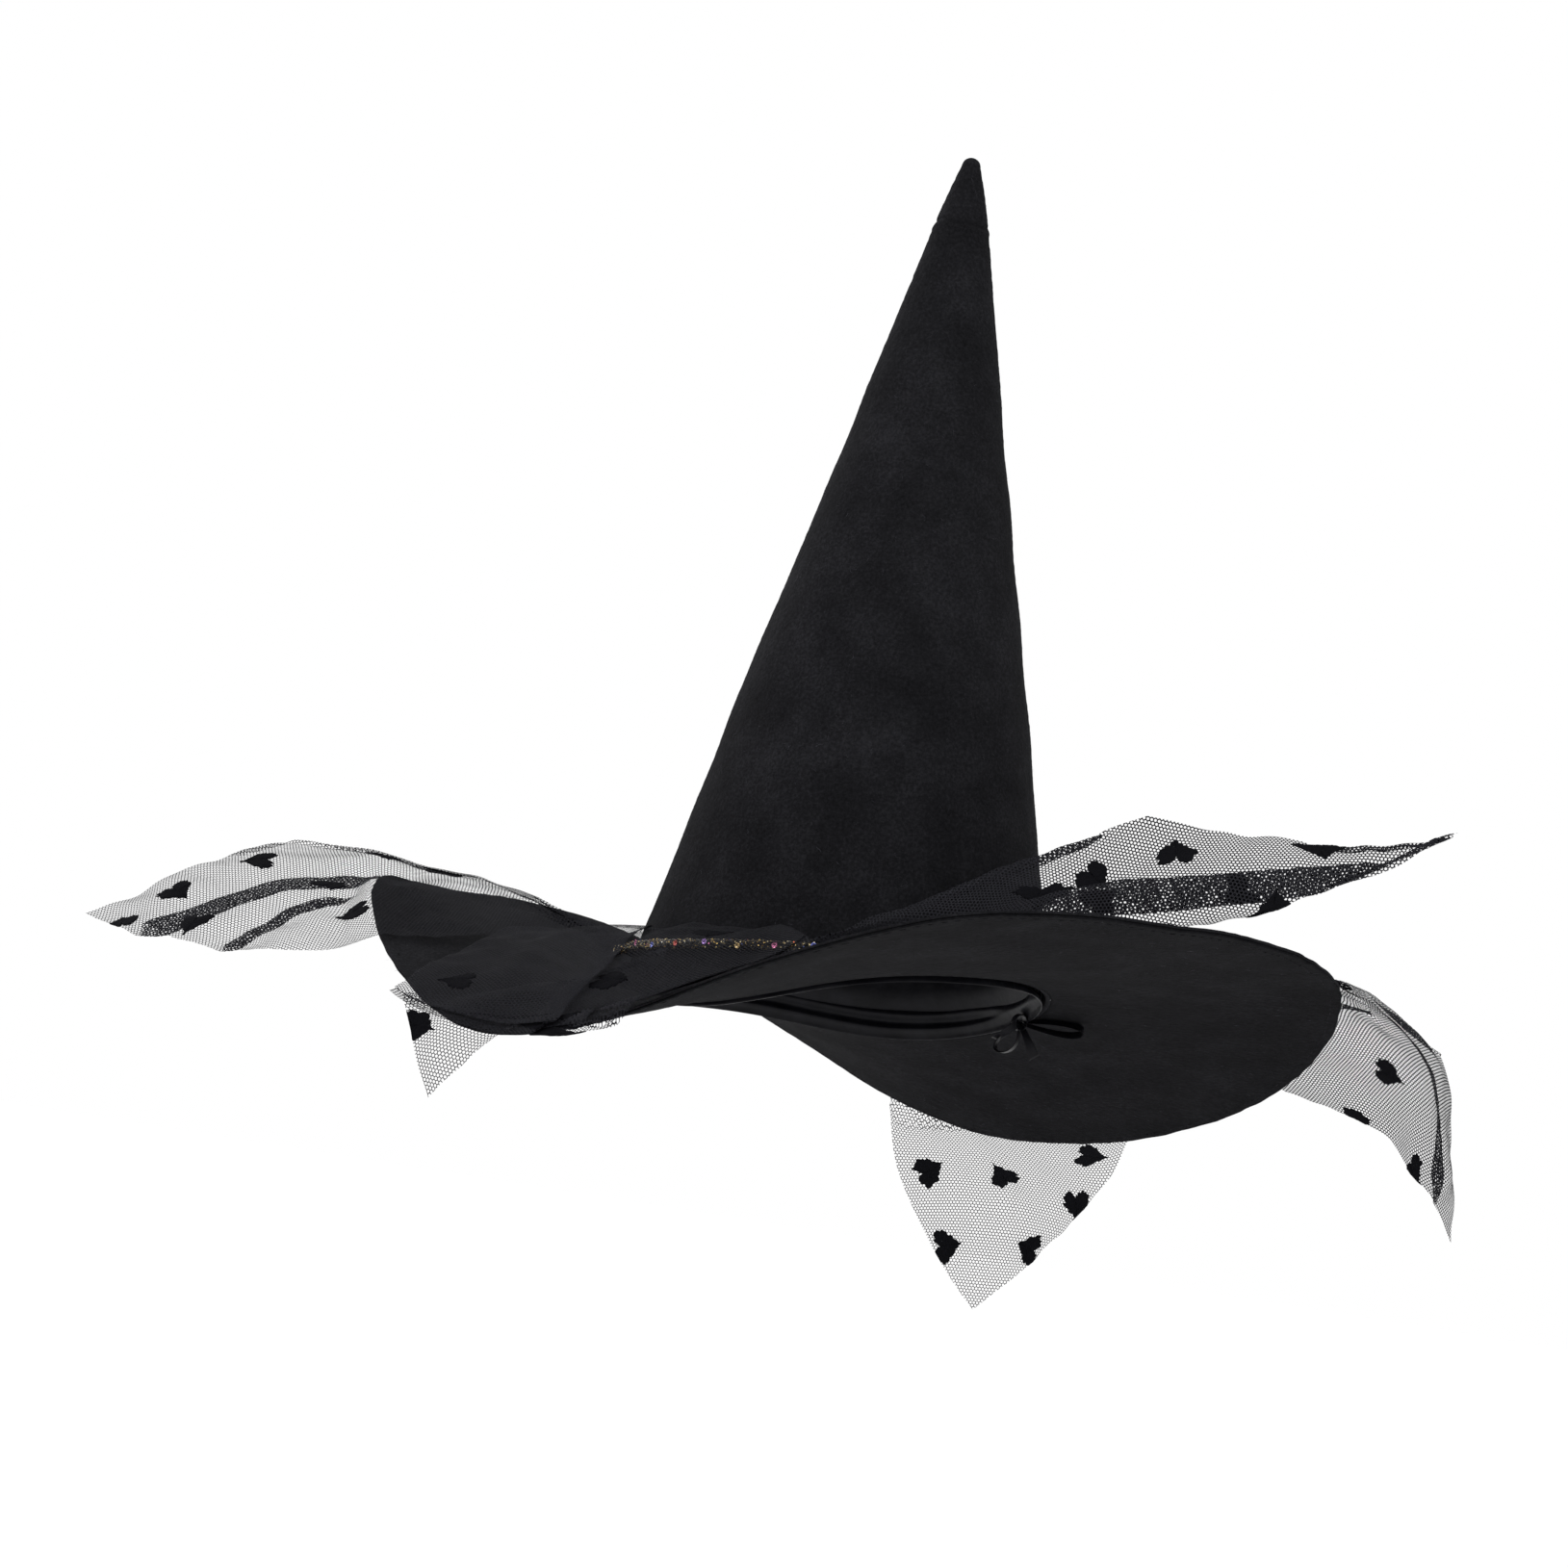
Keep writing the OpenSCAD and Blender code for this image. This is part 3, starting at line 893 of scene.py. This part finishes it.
def make_glitter_braid():
    """The band's body: a flat braid whose surface is lumpy with glued glitter."""
    cols, sides = 720, 20
    angle = (np.arange(cols) * 360 / cols)[None, :]
    turn = (np.arange(sides) * 360 / sides)[:, None]
    wide = GLITTER_W / 2 * 0.9 * np.sign(cosd(turn)) * np.abs(cosd(turn)) ** 0.6
    tall = GLITTER_W / 2 * 0.9 * np.sign(sind(turn)) * np.abs(sind(turn)) ** 0.6
    centre = band_centre(np.broadcast_to(angle, (sides, cols)))
    points = centre + turned(wide, angle, tall)
    lumps = unevenness(points, BRAID_LUMPS, SEED + 21)
    points += turned(cosd(turn), angle, sind(turn)) * lumps[..., None]
    faces = grid_faces(sides, cols, True, True)[:, ::-1]
    return dress(mesh_piece("glitter_braid", points, faces, BRAID), "hat", "glitter", "glitter_band")


GLITTER_TINTS = (
    (0.95, 0.72, 0.28), (0.98, 0.86, 0.55), (0.9, 0.62, 0.2), (0.98, 0.95, 0.85),
    (0.95, 0.3, 0.55), (0.25, 0.35, 0.95), (0.95, 0.25, 0.12), (0.6, 0.3, 0.9),
)
GLITTER_SHARES = (0.34, 0.22, 0.18, 0.12, 0.05, 0.04, 0.03, 0.02)


def scatter_flakes(name, places, size, seed, body="hat"):
    """Small hexagonal flakes at given points, each turned its own way and tinted."""
    draw = np.random.default_rng(seed)
    corner = np.arange(6) * 60
    points, faces, tints = [], [], []
    for k, (point, normal) in enumerate(places):
        facing = unit(normal + draw.normal(size=3) * 0.45)
        first = unit(np.cross(facing, draw.normal(size=3)))
        second = np.cross(facing, first)
        radius = size * draw.uniform(0.6, 1.25)
        flat = radius * (cosd(corner)[:, None] * first + sind(corner)[:, None] * second)
        half = facing * size * 0.12
        points.append(np.concatenate([point + flat + half, point + flat - half]))
        base = 12 * k
        faces.append([base + c for c in range(6)])
        faces.append([base + 11 - c for c in range(6)])
        for c in range(6):
            d = (c + 1) % 6
            faces.append([base + d, base + c, base + 6 + c, base + 6 + d])
        tints.append(GLITTER_TINTS[draw.choice(len(GLITTER_TINTS), p=GLITTER_SHARES)])
    piece = mesh_piece(name, np.concatenate(points), faces, FLAKE, smooth=False)
    paint(piece, np.repeat(np.array(tints), 12, axis=0))
    return dress(piece, body, "glitter")


def paint(piece, colors):
    """Gives each point of a piece its own tint."""
    layer = piece.data.color_attributes.new("tint", "FLOAT_COLOR", "POINT")
    full = np.concatenate([colors, np.ones((len(colors), 1))], 1)
    layer.data.foreach_set("color", full.astype(np.float32).ravel())


def make_band_flakes():
    draw = np.random.default_rng(SEED + 23)
    places = []
    for _ in range(BAND_FLAKES):
        angle = draw.uniform(0, 360)
        turn = draw.uniform(-100, 100)
        side = np.array([cosd(angle) * cosd(turn), sind(angle) * cosd(turn), sind(turn)])
        push = GLITTER_W / 2 * (0.92 + 0.12 * abs(sind(2 * turn)))
        places.append((band_centre(angle) + side * push, side))
    return scatter_flakes("band_glitter", places, FLAKE_R, SEED + 24)


def knot_centre():
    """Middle of the knot, at the band's left end and clear of the petal sewn above it."""
    out = trim_r(180) + GLITTER_W + KNOT_OUT
    return np.array([-out, 0.0, trim_z(180) + GLITTER_W / 2 - KNOT_DROP])


def make_glitter_knot():
    """The band's tied ends: a lumpy wrapped knot with two short frayed ends."""
    centre = knot_centre()
    turn = np.linspace(0, 360, 60)[:, None]
    x, y, z = np.eye(3)
    wrap = centre + x * 1.5 * MM * cosd(turn) + z * 2.2 * MM * sind(turn) + y * 0.6 * MM * sind(2 * turn)
    runs = [(wrap, y, 3.4 * MM, 1.3 * MM)]
    share = np.linspace(0, 1, 18)[:, None]
    for side in (-1, 1):
        end = (centre + y * side * (1 * MM + 7.4 * MM * share) + z * (-1.5 * MM * share ** 2)
               + x * 0.9 * MM * np.sin(3 * share))
        runs.append((end, z, 3.2 * MM * (1 - 0.35 * share[:, 0]), 1.4 * MM))
    ribbon_mesh("glitter_knot_braid", runs, BRAID, "hat", "glitter", "glitter_knot")
    draw = np.random.default_rng(SEED + 25)
    places = []
    for _ in range(KNOT_FLAKES):
        side = unit(draw.normal(size=3))
        reach = np.array([2.2, 6.5 * abs(draw.uniform(-1, 1)) ** 1.3 + 1.5, 2.3]) * MM
        places.append((centre + side * reach, side))
    return scatter_flakes("knot_glitter", places, FLAKE_R, SEED + 26)


SEQUIN_TINTS = (
    (0.9, 0.25, 0.5), (0.25, 0.3, 0.9), (0.85, 0.15, 0.12), (0.55, 0.3, 0.85), (0.9, 0.65, 0.3),
)


def make_sequins():
    """Cupped round sequins with a centre hole, facing out of the glitter band."""
    step = 360 / SEQUIN_COUNT
    rim = np.arange(18) * 20
    radii = np.array([0.22, 0.55, 0.8, 1.0, 0.97, 0.78, 0.55, 0.22]) * SEQUIN_R
    depth = np.array([0.05, 0.06, 0.2, 0.34, 0.44, 0.30, 0.17, 0.17]) * MM
    points, faces, tints = [], [], []
    start = 0
    for k in range(SEQUIN_COUNT):
        angle = k * step
        if abs(angle - 180) <= 1.5 * step:
            continue
        out, aside = compass(angle)
        level = trim_z(angle) + GLITTER_W / 2 + (k % 3 - 1) * 0.7 * MM
        centre = out * (trim_r(angle) + GLITTER_W + 0.05 * MM) + np.array([0, 0, level])
        ring = cosd(rim)[None, :, None] * aside + sind(rim)[None, :, None] * np.array([0, 0, 1.0])
        points.append((centre + radii[:, None, None] * ring + depth[:, None, None] * out).reshape(-1, 3))
        faces += grid_faces(len(radii), len(rim), True, True, start).tolist()
        start += len(radii) * len(rim)
        tints += [SEQUIN_TINTS[k % len(SEQUIN_TINTS)]] * (len(radii) * len(rim))
    piece = mesh_piece("sequins", np.concatenate(points), faces, SEQUIN)
    paint(piece, np.array(tints))
    return dress(piece, "hat", "sequin", "band_sequins")


# ---------------------------------------------------------------- tulle petals

# Each petal: the CAD's 3 by 3 net of points in millimetres that its surface passes through,
# its lift over the brim, its reach past the edge, and how fast the brim's hold falls away
# beyond that. These are the CAD's, except that the left petal's reach and fall are smaller
# here, so that it leaves the edge without a curl. Then its looks: where it is sewn, how drawn
# up the whole net is, pleats, hearts and the side of its square cut. A pleat is start, end and
# width in shares of the petal, its depth (above 1 the net doubles back on itself) and its
# height in millimetres. A heart is its place in shares and its turn in degrees.
PETALS = {
    "left": dict(
        net=[[(-106, 2, 11), (-150, -42, 2), (-200, -82, -7)],
             [(-187, 60, 32), (-238, 10, 20), (-264, -60, -22)],
             [(-259, 48, 33), (-300, 26, 11), (-341, 8, -16)]],
        lift=1.8, reach=2, fall=1.0, root=(-104, 1, 11),
        pleats=[((0.84, 1.04), (0.33, 0.40), 0.046, 3.4, 2.5),
                ((0.55, 1.02), (0.33, 0.66), 0.026, 3.2, 2.0),
                ((0.05, 0.035), (0.92, 0.035), 0.035, 3.4, 2.0)],
        hearts=[(.83, .77, 250), (.72, .52, 100), (.90, .97, 60), (.55, .20, 90),
                (.48, .08, 150), (.40, .60, 10), (.25, .78, 120), (.66, .94, 200)],
        cut=0.17),
    "near_left": dict(
        net=[[(-46, -94, 16), (-36, -135, 21), (-20, -198, 18)],
             [(-100, -86, 12), (-98, -140, 5), (-106, -212, -34)],
             [(-148, -82, 6), (-170, -130, -14), (-184, -178, -28)]],
        lift=3.4, reach=12, root=(-62, -80, 15),
        pleats=[((0.40, 0.10), (0.62, 1.0), 0.05, 3.2, 3.0),
                ((0.0, 0.93), (1.0, 0.93), 0.035, 3.2, 2.0)],
        hearts=[(.88, .76, 100), (.64, .96, 40), (.46, .75, 250), (.21, .55, 160)],
        cut=0.15),
    "near_left_under": dict(
        net=[[(-78, -72, 3), (-98, -130, -15), (-135, -178, -36)],
             [(-132, -106, -18), (-150, -150, -30), (-151, -172, -55)],
             [(-182, -145, -30), (-172, -158, -51), (-163, -165, -70)]],
        lift=1.8, reach=5, root=(-78, -68, 8),
        hearts=[(.91, .40, 200)],
        cut=0.08, body="petal_near_left"),
    "near_right": dict(
        net=[[(-18, -104, 18), (41, -110, 54), (112, -124, 92)],
             [(58, -134, 26), (122, -150, 62), (175, -134, 94)],
             [(142, -168, 50), (198, -152, 76), (240, -148, 105)]],
        lift=3.4, reach=7, root=(-20, -100, 19), drawn=0.5,
        pleats=[((0.25, 0.38), (1.0, 0.58), 0.23, 3.1, 5.0),
                ((0.035, 0.25), (0.03, 0.85), 0.03, 3.2, 1.5),
                ((0.55, 0.96), (1.0, 0.93), 0.035, 3.2, 1.5),
                ((0.965, 0.45), (0.965, 1.0), 0.03, 3.2, 1.5)],
        hearts=[(.20, .70, 100), (.24, .87, 200), (.22, .53, 80), (.62, .93, 10),
                (.97, .19, 190), (.40, .42, 60), (.70, .53, 250)],
        cut=0.125),
    "right": dict(
        net=[[(106, 6, 24), (158, 46, 12), (215, 92, -10)],
             [(184, -24, 48), (243, 18, 22), (261, 62, -25)],
             [(262, -38, 16), (277, -10, -11), (288, 2, -66)]],
        lift=1.2, reach=6, root=(100, 5, 22), drawn=0.45,
        pleats=[((0.66, 0.0), (0.84, 1.0), 0.075, 3.4, 3.5),
                ((0.2, 0.05), (0.98, 0.05), 0.05, 3.2, 2.0),
                ((0.34, 0.41), (0.60, 0.28), 0.04, 3.2, 2.0)],
        hearts=[(.50, .70, 100), (.35, 1.0, 60), (.70, .99, 120)],
        cut=0.155),
    "far_right": dict(
        net=[[(43, 96, 14), (36, 158, -18), (38, 222, -46)],
             [(96, 138, -22), (100, 222, -66), (54, 232, -90)],
             [(157, 193, -46), (136, 218, -90), (95, 236, -141)]],
        lift=3.2, reach=5, root=(40, 91, 12),
        hearts=[(.38, .86, 0), (.52, .56, 270), (.74, .95, 20), (.92, .70, 250),
                (.95, .42, 150), (.86, .16, 60)],
        cut=0.14),
    "far_left": dict(
        net=[[(-56, 90, 8), (-100, 104, 0), (-142, 112, 0)],
             [(-38, 140, -10), (-90, 142, 0), (-130, 158, 0)],
             [(-20, 190, -20), (-66, 186, -4), (-104, 182, 6)]],
        lift=1.2, reach=4, root=(-53.5, 86.5, 7.5),
        hearts=[(.38, .59, 30), (.60, .20, 140)],
        cut=0.10),
}


# What most petals share.
for petal_name, petal_facts in PETALS.items():
    common = dict(fall=5.0, drawn=0.0, pleats=[], body="petal_" + petal_name)
    PETALS[petal_name] = {**common, **petal_facts}


def quadratic_weights(t):
    """Weights that pass through three evenly spaced points."""
    return np.stack([(1 - t) * (1 - 2 * t), 4 * t * (1 - t), t * (2 * t - 1)], -1)


def net_surface(net, u, v):
    corners = np.array(net, float) * MM
    return np.einsum("...i,...j,ijk->...k", quadratic_weights(u), quadratic_weights(v), corners)


def pleat_shift(u, v, pleat):
    """Where cloth at (u, v) goes when a pleat folds it, its lift in metres and how gathered it is."""
    (u0, v0), (u1, v1), width, depth, height = pleat
    along = np.array([u1 - u0, v1 - v0])
    length = np.linalg.norm(along)
    along /= length
    # t runs along the pleat from 0 to 1, and q across it in widths.
    t = ((u - u0) * along[0] + (v - v0) * along[1]) / length
    q = (-(u - u0) * along[1] + (v - v0) * along[0]) / width
    hold = smooth_step((t + 0.10) / 0.25) * smooth_step((1.12 - t) / 0.22)
    pull = depth * width * hold * q * bell(q, 0, 1)
    rise = height * MM * hold * (0.5 + 0.5 * np.tanh(2.2 * q)) * bell(q, 0.6, 2.4)
    return u + pull * along[1], v - pull * along[0], rise, hold * bell(q, 0, 0.9)


def petal_floor(points, petal):
    """Lowest height of a petal at a point: over trim and brim, free past the edge."""
    r = np.hypot(points[..., 0], points[..., 1])
    angle = np.degrees(np.arctan2(points[..., 1], points[..., 0]))
    edge = edge_r(angle)
    over_brim = brim_z(np.minimum(r, edge), angle) + PLY_GAP / 2 + PLY_T + FLOOR_LIFT * petal["lift"] * MM
    over_brim -= petal["fall"] * np.maximum(0, r - edge - petal["reach"] * MM)
    near_trim = smooth_step((trim_r(angle) + GLITTER_W + 4 * MM - r) / (3 * MM))
    over_trim = trim_z(angle) + GLITTER_W + 0.6 * MM
    return np.where(near_trim > 0, over_brim * (1 - near_trim) + over_trim * near_trim, over_brim)


def soft_max(a, b, width):
    return 0.5 * (a + b + np.sqrt((a - b) ** 2 + width * width))


def petal_points(petal, u, v):
    """The finished cloth surface of a petal at shares u and v of its sides."""
    rise = np.zeros(np.shape(u))
    for pleat in petal["pleats"]:
        u, v, lifted, _ = pleat_shift(u, v, pleat)
        rise = rise + lifted
    points = net_surface(petal["net"], u, v)
    step = 1e-3
    along = net_surface(petal["net"], u + step, v) - points
    across = net_surface(petal["net"], u, v + step) - points
    normal = unit(np.cross(across, along))
    seed = SEED + 40 + len(petal["hearts"])
    waves = unevenness(points, NET_WAVES, seed)
    from_root = np.hypot(u, v)
    gathers = GATHER_H * np.sin(GATHER_COUNT * np.arctan2(v, u + 1e-9) + 1)
    gathers *= bell(from_root, 0, GATHER_REACH)
    out = rise + waves * smooth_step(from_root / 0.3) + gathers * smooth_step(from_root / 0.05)
    points = points + normal * out[..., None]
    root = np.array(petal["root"], float) * MM
    pull = bell(from_root, 0, ROOT_PULL)[..., None]
    points = points + (root - np.array(petal["net"][0][0]) * MM) * pull
    floor = petal_floor(points, petal)
    points[..., 2] = soft_max(points[..., 2], floor, 1.2 * MM)
    return points


def gathering(petal, u, v):
    """How tightly the net is gathered at (u, v): 1 in the middle of a pleat, 0 where it lies open."""
    total = np.zeros(np.shape(u))
    for pleat in petal["pleats"]:
        u, v, _, gathered = pleat_shift(u, v, pleat)
        total = np.maximum(total, gathered)
    total = np.maximum(total, petal["drawn"])
    return np.maximum(total, bell(np.hypot(u, v), 0, ROOT_GATHER))


def between(values, place):
    """Rows of values read off at places that may lie between two rows."""
    columns = values.reshape(len(values), -1).T
    read = [np.interp(place, np.arange(len(values)), column) for column in columns]
    return np.stack(read, -1).reshape(len(place), *values.shape[1:])


def net_layout(points):
    """Where each point of a petal lies on the flat net, in metres, with the least stretch."""
    coarse = points[::LAYOUT_STEP, ::LAYOUT_STEP]
    rows, cols = coarse.shape[:2]
    flat = np.zeros((rows * cols, 2))
    piece = mesh_piece("net_layout", coarse, grid_faces(rows, cols), TULLE, flat)
    bpy.context.view_layer.objects.active = piece
    piece.select_set(True)
    bpy.ops.object.mode_set(mode="EDIT")
    bpy.ops.mesh.select_all(action="SELECT")
    bpy.ops.uv.unwrap(method="MINIMUM_STRETCH", iterations=30, margin=0.0)
    bpy.ops.object.mode_set(mode="OBJECT")
    mesh = piece.data
    loops = np.zeros(len(mesh.loops), int)
    mesh.loops.foreach_get("vertex_index", loops)
    found = np.zeros(2 * len(mesh.loops))
    mesh.uv_layers["net"].data.foreach_get("uv", found)
    flat[loops] = found.reshape(-1, 2)
    bpy.data.meshes.remove(mesh)
    flat = flat.reshape(rows, cols, 2)
    real = np.linalg.norm(np.diff(coarse, axis=0), axis=-1).sum()
    flat *= real / np.linalg.norm(np.diff(flat, axis=0), axis=-1).sum()
    side = flat[-1].mean(0) - flat[0].mean(0)
    heading = math.atan2(side[1], side[0])
    turn = np.array([[math.cos(heading), -math.sin(heading)], [math.sin(heading), math.cos(heading)]])
    flat = flat @ turn
    place = np.arange(points.shape[0]) / LAYOUT_STEP
    return between(between(flat, place).swapaxes(0, 1), place).swapaxes(0, 1)


def heart_outline(count):
    """A chubby heart 1 wide, with a deep notch, as x and y round its middle."""
    t = np.arange(count) * 2 * math.pi / count
    x = 16 * np.sin(t) ** 3
    y = 13 * np.cos(t) - 5.2 * np.cos(2 * t) - 2 * np.cos(3 * t) - np.cos(4 * t)
    return x / 32, (y + 2.5) / 32


def make_heart(name, petal, place, draw):
    """One flocked heart on the net: a thin raised patch that follows the cloth."""
    count = HEART_POINTS
    x, y = heart_outline(count)
    jagged = 1 + HEART_RAGGED * draw.normal(size=count)
    x, y = x * jagged * HEART_W, y * jagged * HEART_W
    turn = math.radians(place[2])
    x, y = x * math.cos(turn) - y * math.sin(turn), x * math.sin(turn) + y * math.cos(turn)
    u0, v0 = (np.array(c, float) for c in place[:2])
    h = HEART_STEP
    along = (petal_points(petal, u0 + h, v0) - petal_points(petal, u0 - h, v0)) / (2 * h)
    across = (petal_points(petal, u0, v0 + h) - petal_points(petal, u0, v0 - h)) / (2 * h)
    first = unit(along)
    second = unit(across - (across @ first) * first)
    frame2 = np.array([[along @ first, across @ first], [along @ second, across @ second]])
    rings = len(HEART_RINGS)
    ring = np.array(HEART_RINGS)[:, None]
    moves = np.linalg.solve(frame2, np.stack([(ring * x).ravel(), (ring * y).ravel()]))
    u = np.clip(u0 + moves[0].reshape(rings, count), 0.0, 1.0)
    v = np.clip(v0 + moves[1].reshape(rings, count), 0.0, 1.0)
    points = petal_points(petal, u, v)
    tip = petal_points(petal, u + 1e-3, v) - points
    side = petal_points(petal, u, v + 1e-3) - points
    normal = unit(np.cross(side, tip))
    pile = PILE_H + PILE_SPREAD * draw.normal(size=(rings, count, 1))
    pile[-1] = PILE_RIM_H
    front = points + normal * pile
    back = points - normal * pile
    centre = petal_points(petal, u0[None], v0[None])[0]
    grid = np.concatenate([front, back[::-1]])
    lift = normal[0].mean(0) * 0.4 * MM
    full = np.concatenate([grid.reshape(-1, 3), [centre + lift], [centre - lift]])
    piece = mesh_piece(name, full, capped_faces(2 * rings, count), FLOCK)
    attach(piece, petal["body"])
    return piece


def make_petal(name, petal, draw):
    """A tulle petal and its hearts."""
    share = np.linspace(0, 1, PETAL_N)
    u, v = np.meshgrid(share, share, indexing="ij")
    points = petal_points(petal, u, v)
    normals = surface_normals(points)
    upper = points + normals * TULLE_T / 2
    lower = points - normals * TULLE_T / 2
    uv = np.concatenate([net_layout(points).reshape(-1, 2)] * 2)
    both = np.concatenate([upper.reshape(-1, 3), lower.reshape(-1, 3)])
    cloth = mesh_piece("tulle_" + name + "_cloth", both, slab_faces(PETAL_N, PETAL_N), TULLE, uv)
    layer = cloth.data.attributes.new("gather", "FLOAT", "POINT")
    layer.data.foreach_set("value", np.tile(gathering(petal, u, v).ravel(), 2).astype(np.float32))
    dress(cloth, petal["body"], "tulle", "tulle_" + name)
    hearts = [
        make_heart(f"heart_{name}_{k + 1}", petal, place, draw)
        for k, place in enumerate(petal["hearts"])
    ]
    return cloth


# ---------------------------------------------------------------- camera, light and floor

CAMERA_DISTANCE = 1.8
CAMERA_ELEVATION = -4
CAMERA_ROLL = 9
VIEW_WIDTH = 0.702
VIEW_CENTRE_RIGHT = -0.0256
VIEW_CENTRE_UP = 0.0950
SENSOR_W = 36
FLOOR_Z = -0.45
FLOOR_REACH = 9


def make_camera():
    """The reference view: from a little below the brim, rolled so that the crown leans right."""
    forward = Vector((0, cosd(CAMERA_ELEVATION), -sind(CAMERA_ELEVATION)))
    level = Vector((1, 0, 0))
    upright = Vector((0, sind(CAMERA_ELEVATION), cosd(CAMERA_ELEVATION)))
    right = level * cosd(CAMERA_ROLL) + upright * sind(CAMERA_ROLL)
    up = upright * cosd(CAMERA_ROLL) - level * sind(CAMERA_ROLL)
    target = right * VIEW_CENTRE_RIGHT + up * VIEW_CENTRE_UP
    place = target - forward * CAMERA_DISTANCE
    data = bpy.data.cameras.new("camera")
    data.sensor_width = SENSOR_W
    data.lens = SENSOR_W * CAMERA_DISTANCE / VIEW_WIDTH
    camera = add_object("camera", data)
    rows = [[right[k], up[k], -forward[k], place[k]] for k in range(3)] + [[0, 0, 0, 1]]
    camera.matrix_world = Matrix(rows)
    bpy.context.scene.camera = camera


def make_area_light(name, place, target, size, power):
    data = bpy.data.lights.new(name, "AREA")
    data.size = size
    data.energy = power
    light = add_object(name, data)
    light.location = place
    light.rotation_euler = (Vector(target) - Vector(place)).to_track_quat("-Z", "Y").to_euler()


def make_studio():
    scene = bpy.context.scene
    world = bpy.data.worlds.new("studio")
    world.use_nodes = True
    background = world.node_tree.nodes["Background"]
    background.inputs["Color"].default_value = (1.0, 1.0, 1.0, 1.0)
    background.inputs["Strength"].default_value = 1.0
    scene.world = world
    scene.view_settings.view_transform = "Standard"
    scene.cycles.transparent_max_bounces = 48
    make_area_light("key_light", (-1.3, -1.2, 1.5), (0, 0, 0.15), 1.2, 9)
    make_area_light("rim_light", (-1.2, 1.0, 0.6), (0, 0, 0.2), 0.8, 8)
    sides = ((-1, -1), (1, -1), (1, 1), (-1, 1))
    corners = [(x * FLOOR_REACH, y * FLOOR_REACH, FLOOR_Z) for x, y in sides]
    mesh_piece("floor", corners, [(0, 1, 2, 3)], floor_material(), smooth=False)


# ---------------------------------------------------------------- build

make_camera()
make_studio()
make_crown_cloth()
make_brim_ply("brim_top_cloth", "brim_top_felt", 1, FELT, 0.0)
# The under ply takes the felt with painted shade.
make_brim_ply("brim_under_cloth", "brim_under_felt", -1, UNDER_FELT_PAINTED_SHADE, 0.4 * MM)
make_foot_seam()
make_edge_stitches()
make_fibres("crown_fibres", crown_place(10 * MM, 340 * MM), 900, "hat", SEED + 31)
tip_place = crown_place(FOLD_Z + 9 * MM, TIP_TOP_Z - 6 * MM)
make_fibres("tip_fibres", tip_place, 60, "tip", SEED + 32, (0.8, 2.0))
make_fibres("brim_top_fibres", brim_place(1), 500, "hat", SEED + 33)
make_fibres("brim_under_fibres", brim_place(-1), 600, "hat", SEED + 34)
make_lining_cloth()
make_sweatband_cloth()
make_bow()
make_foot_stitches()
make_glitter_braid()
make_band_flakes()
make_glitter_knot()
make_sequins()
heart_draw = np.random.default_rng(SEED + 60)
for petal_name, petal_facts in PETALS.items():
    make_petal(petal_name, petal_facts, heart_draw)

lining_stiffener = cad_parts["crown_interlining"]
lining_stiffener.data.materials.clear()
lining_stiffener.data.materials.append(interlining_material())
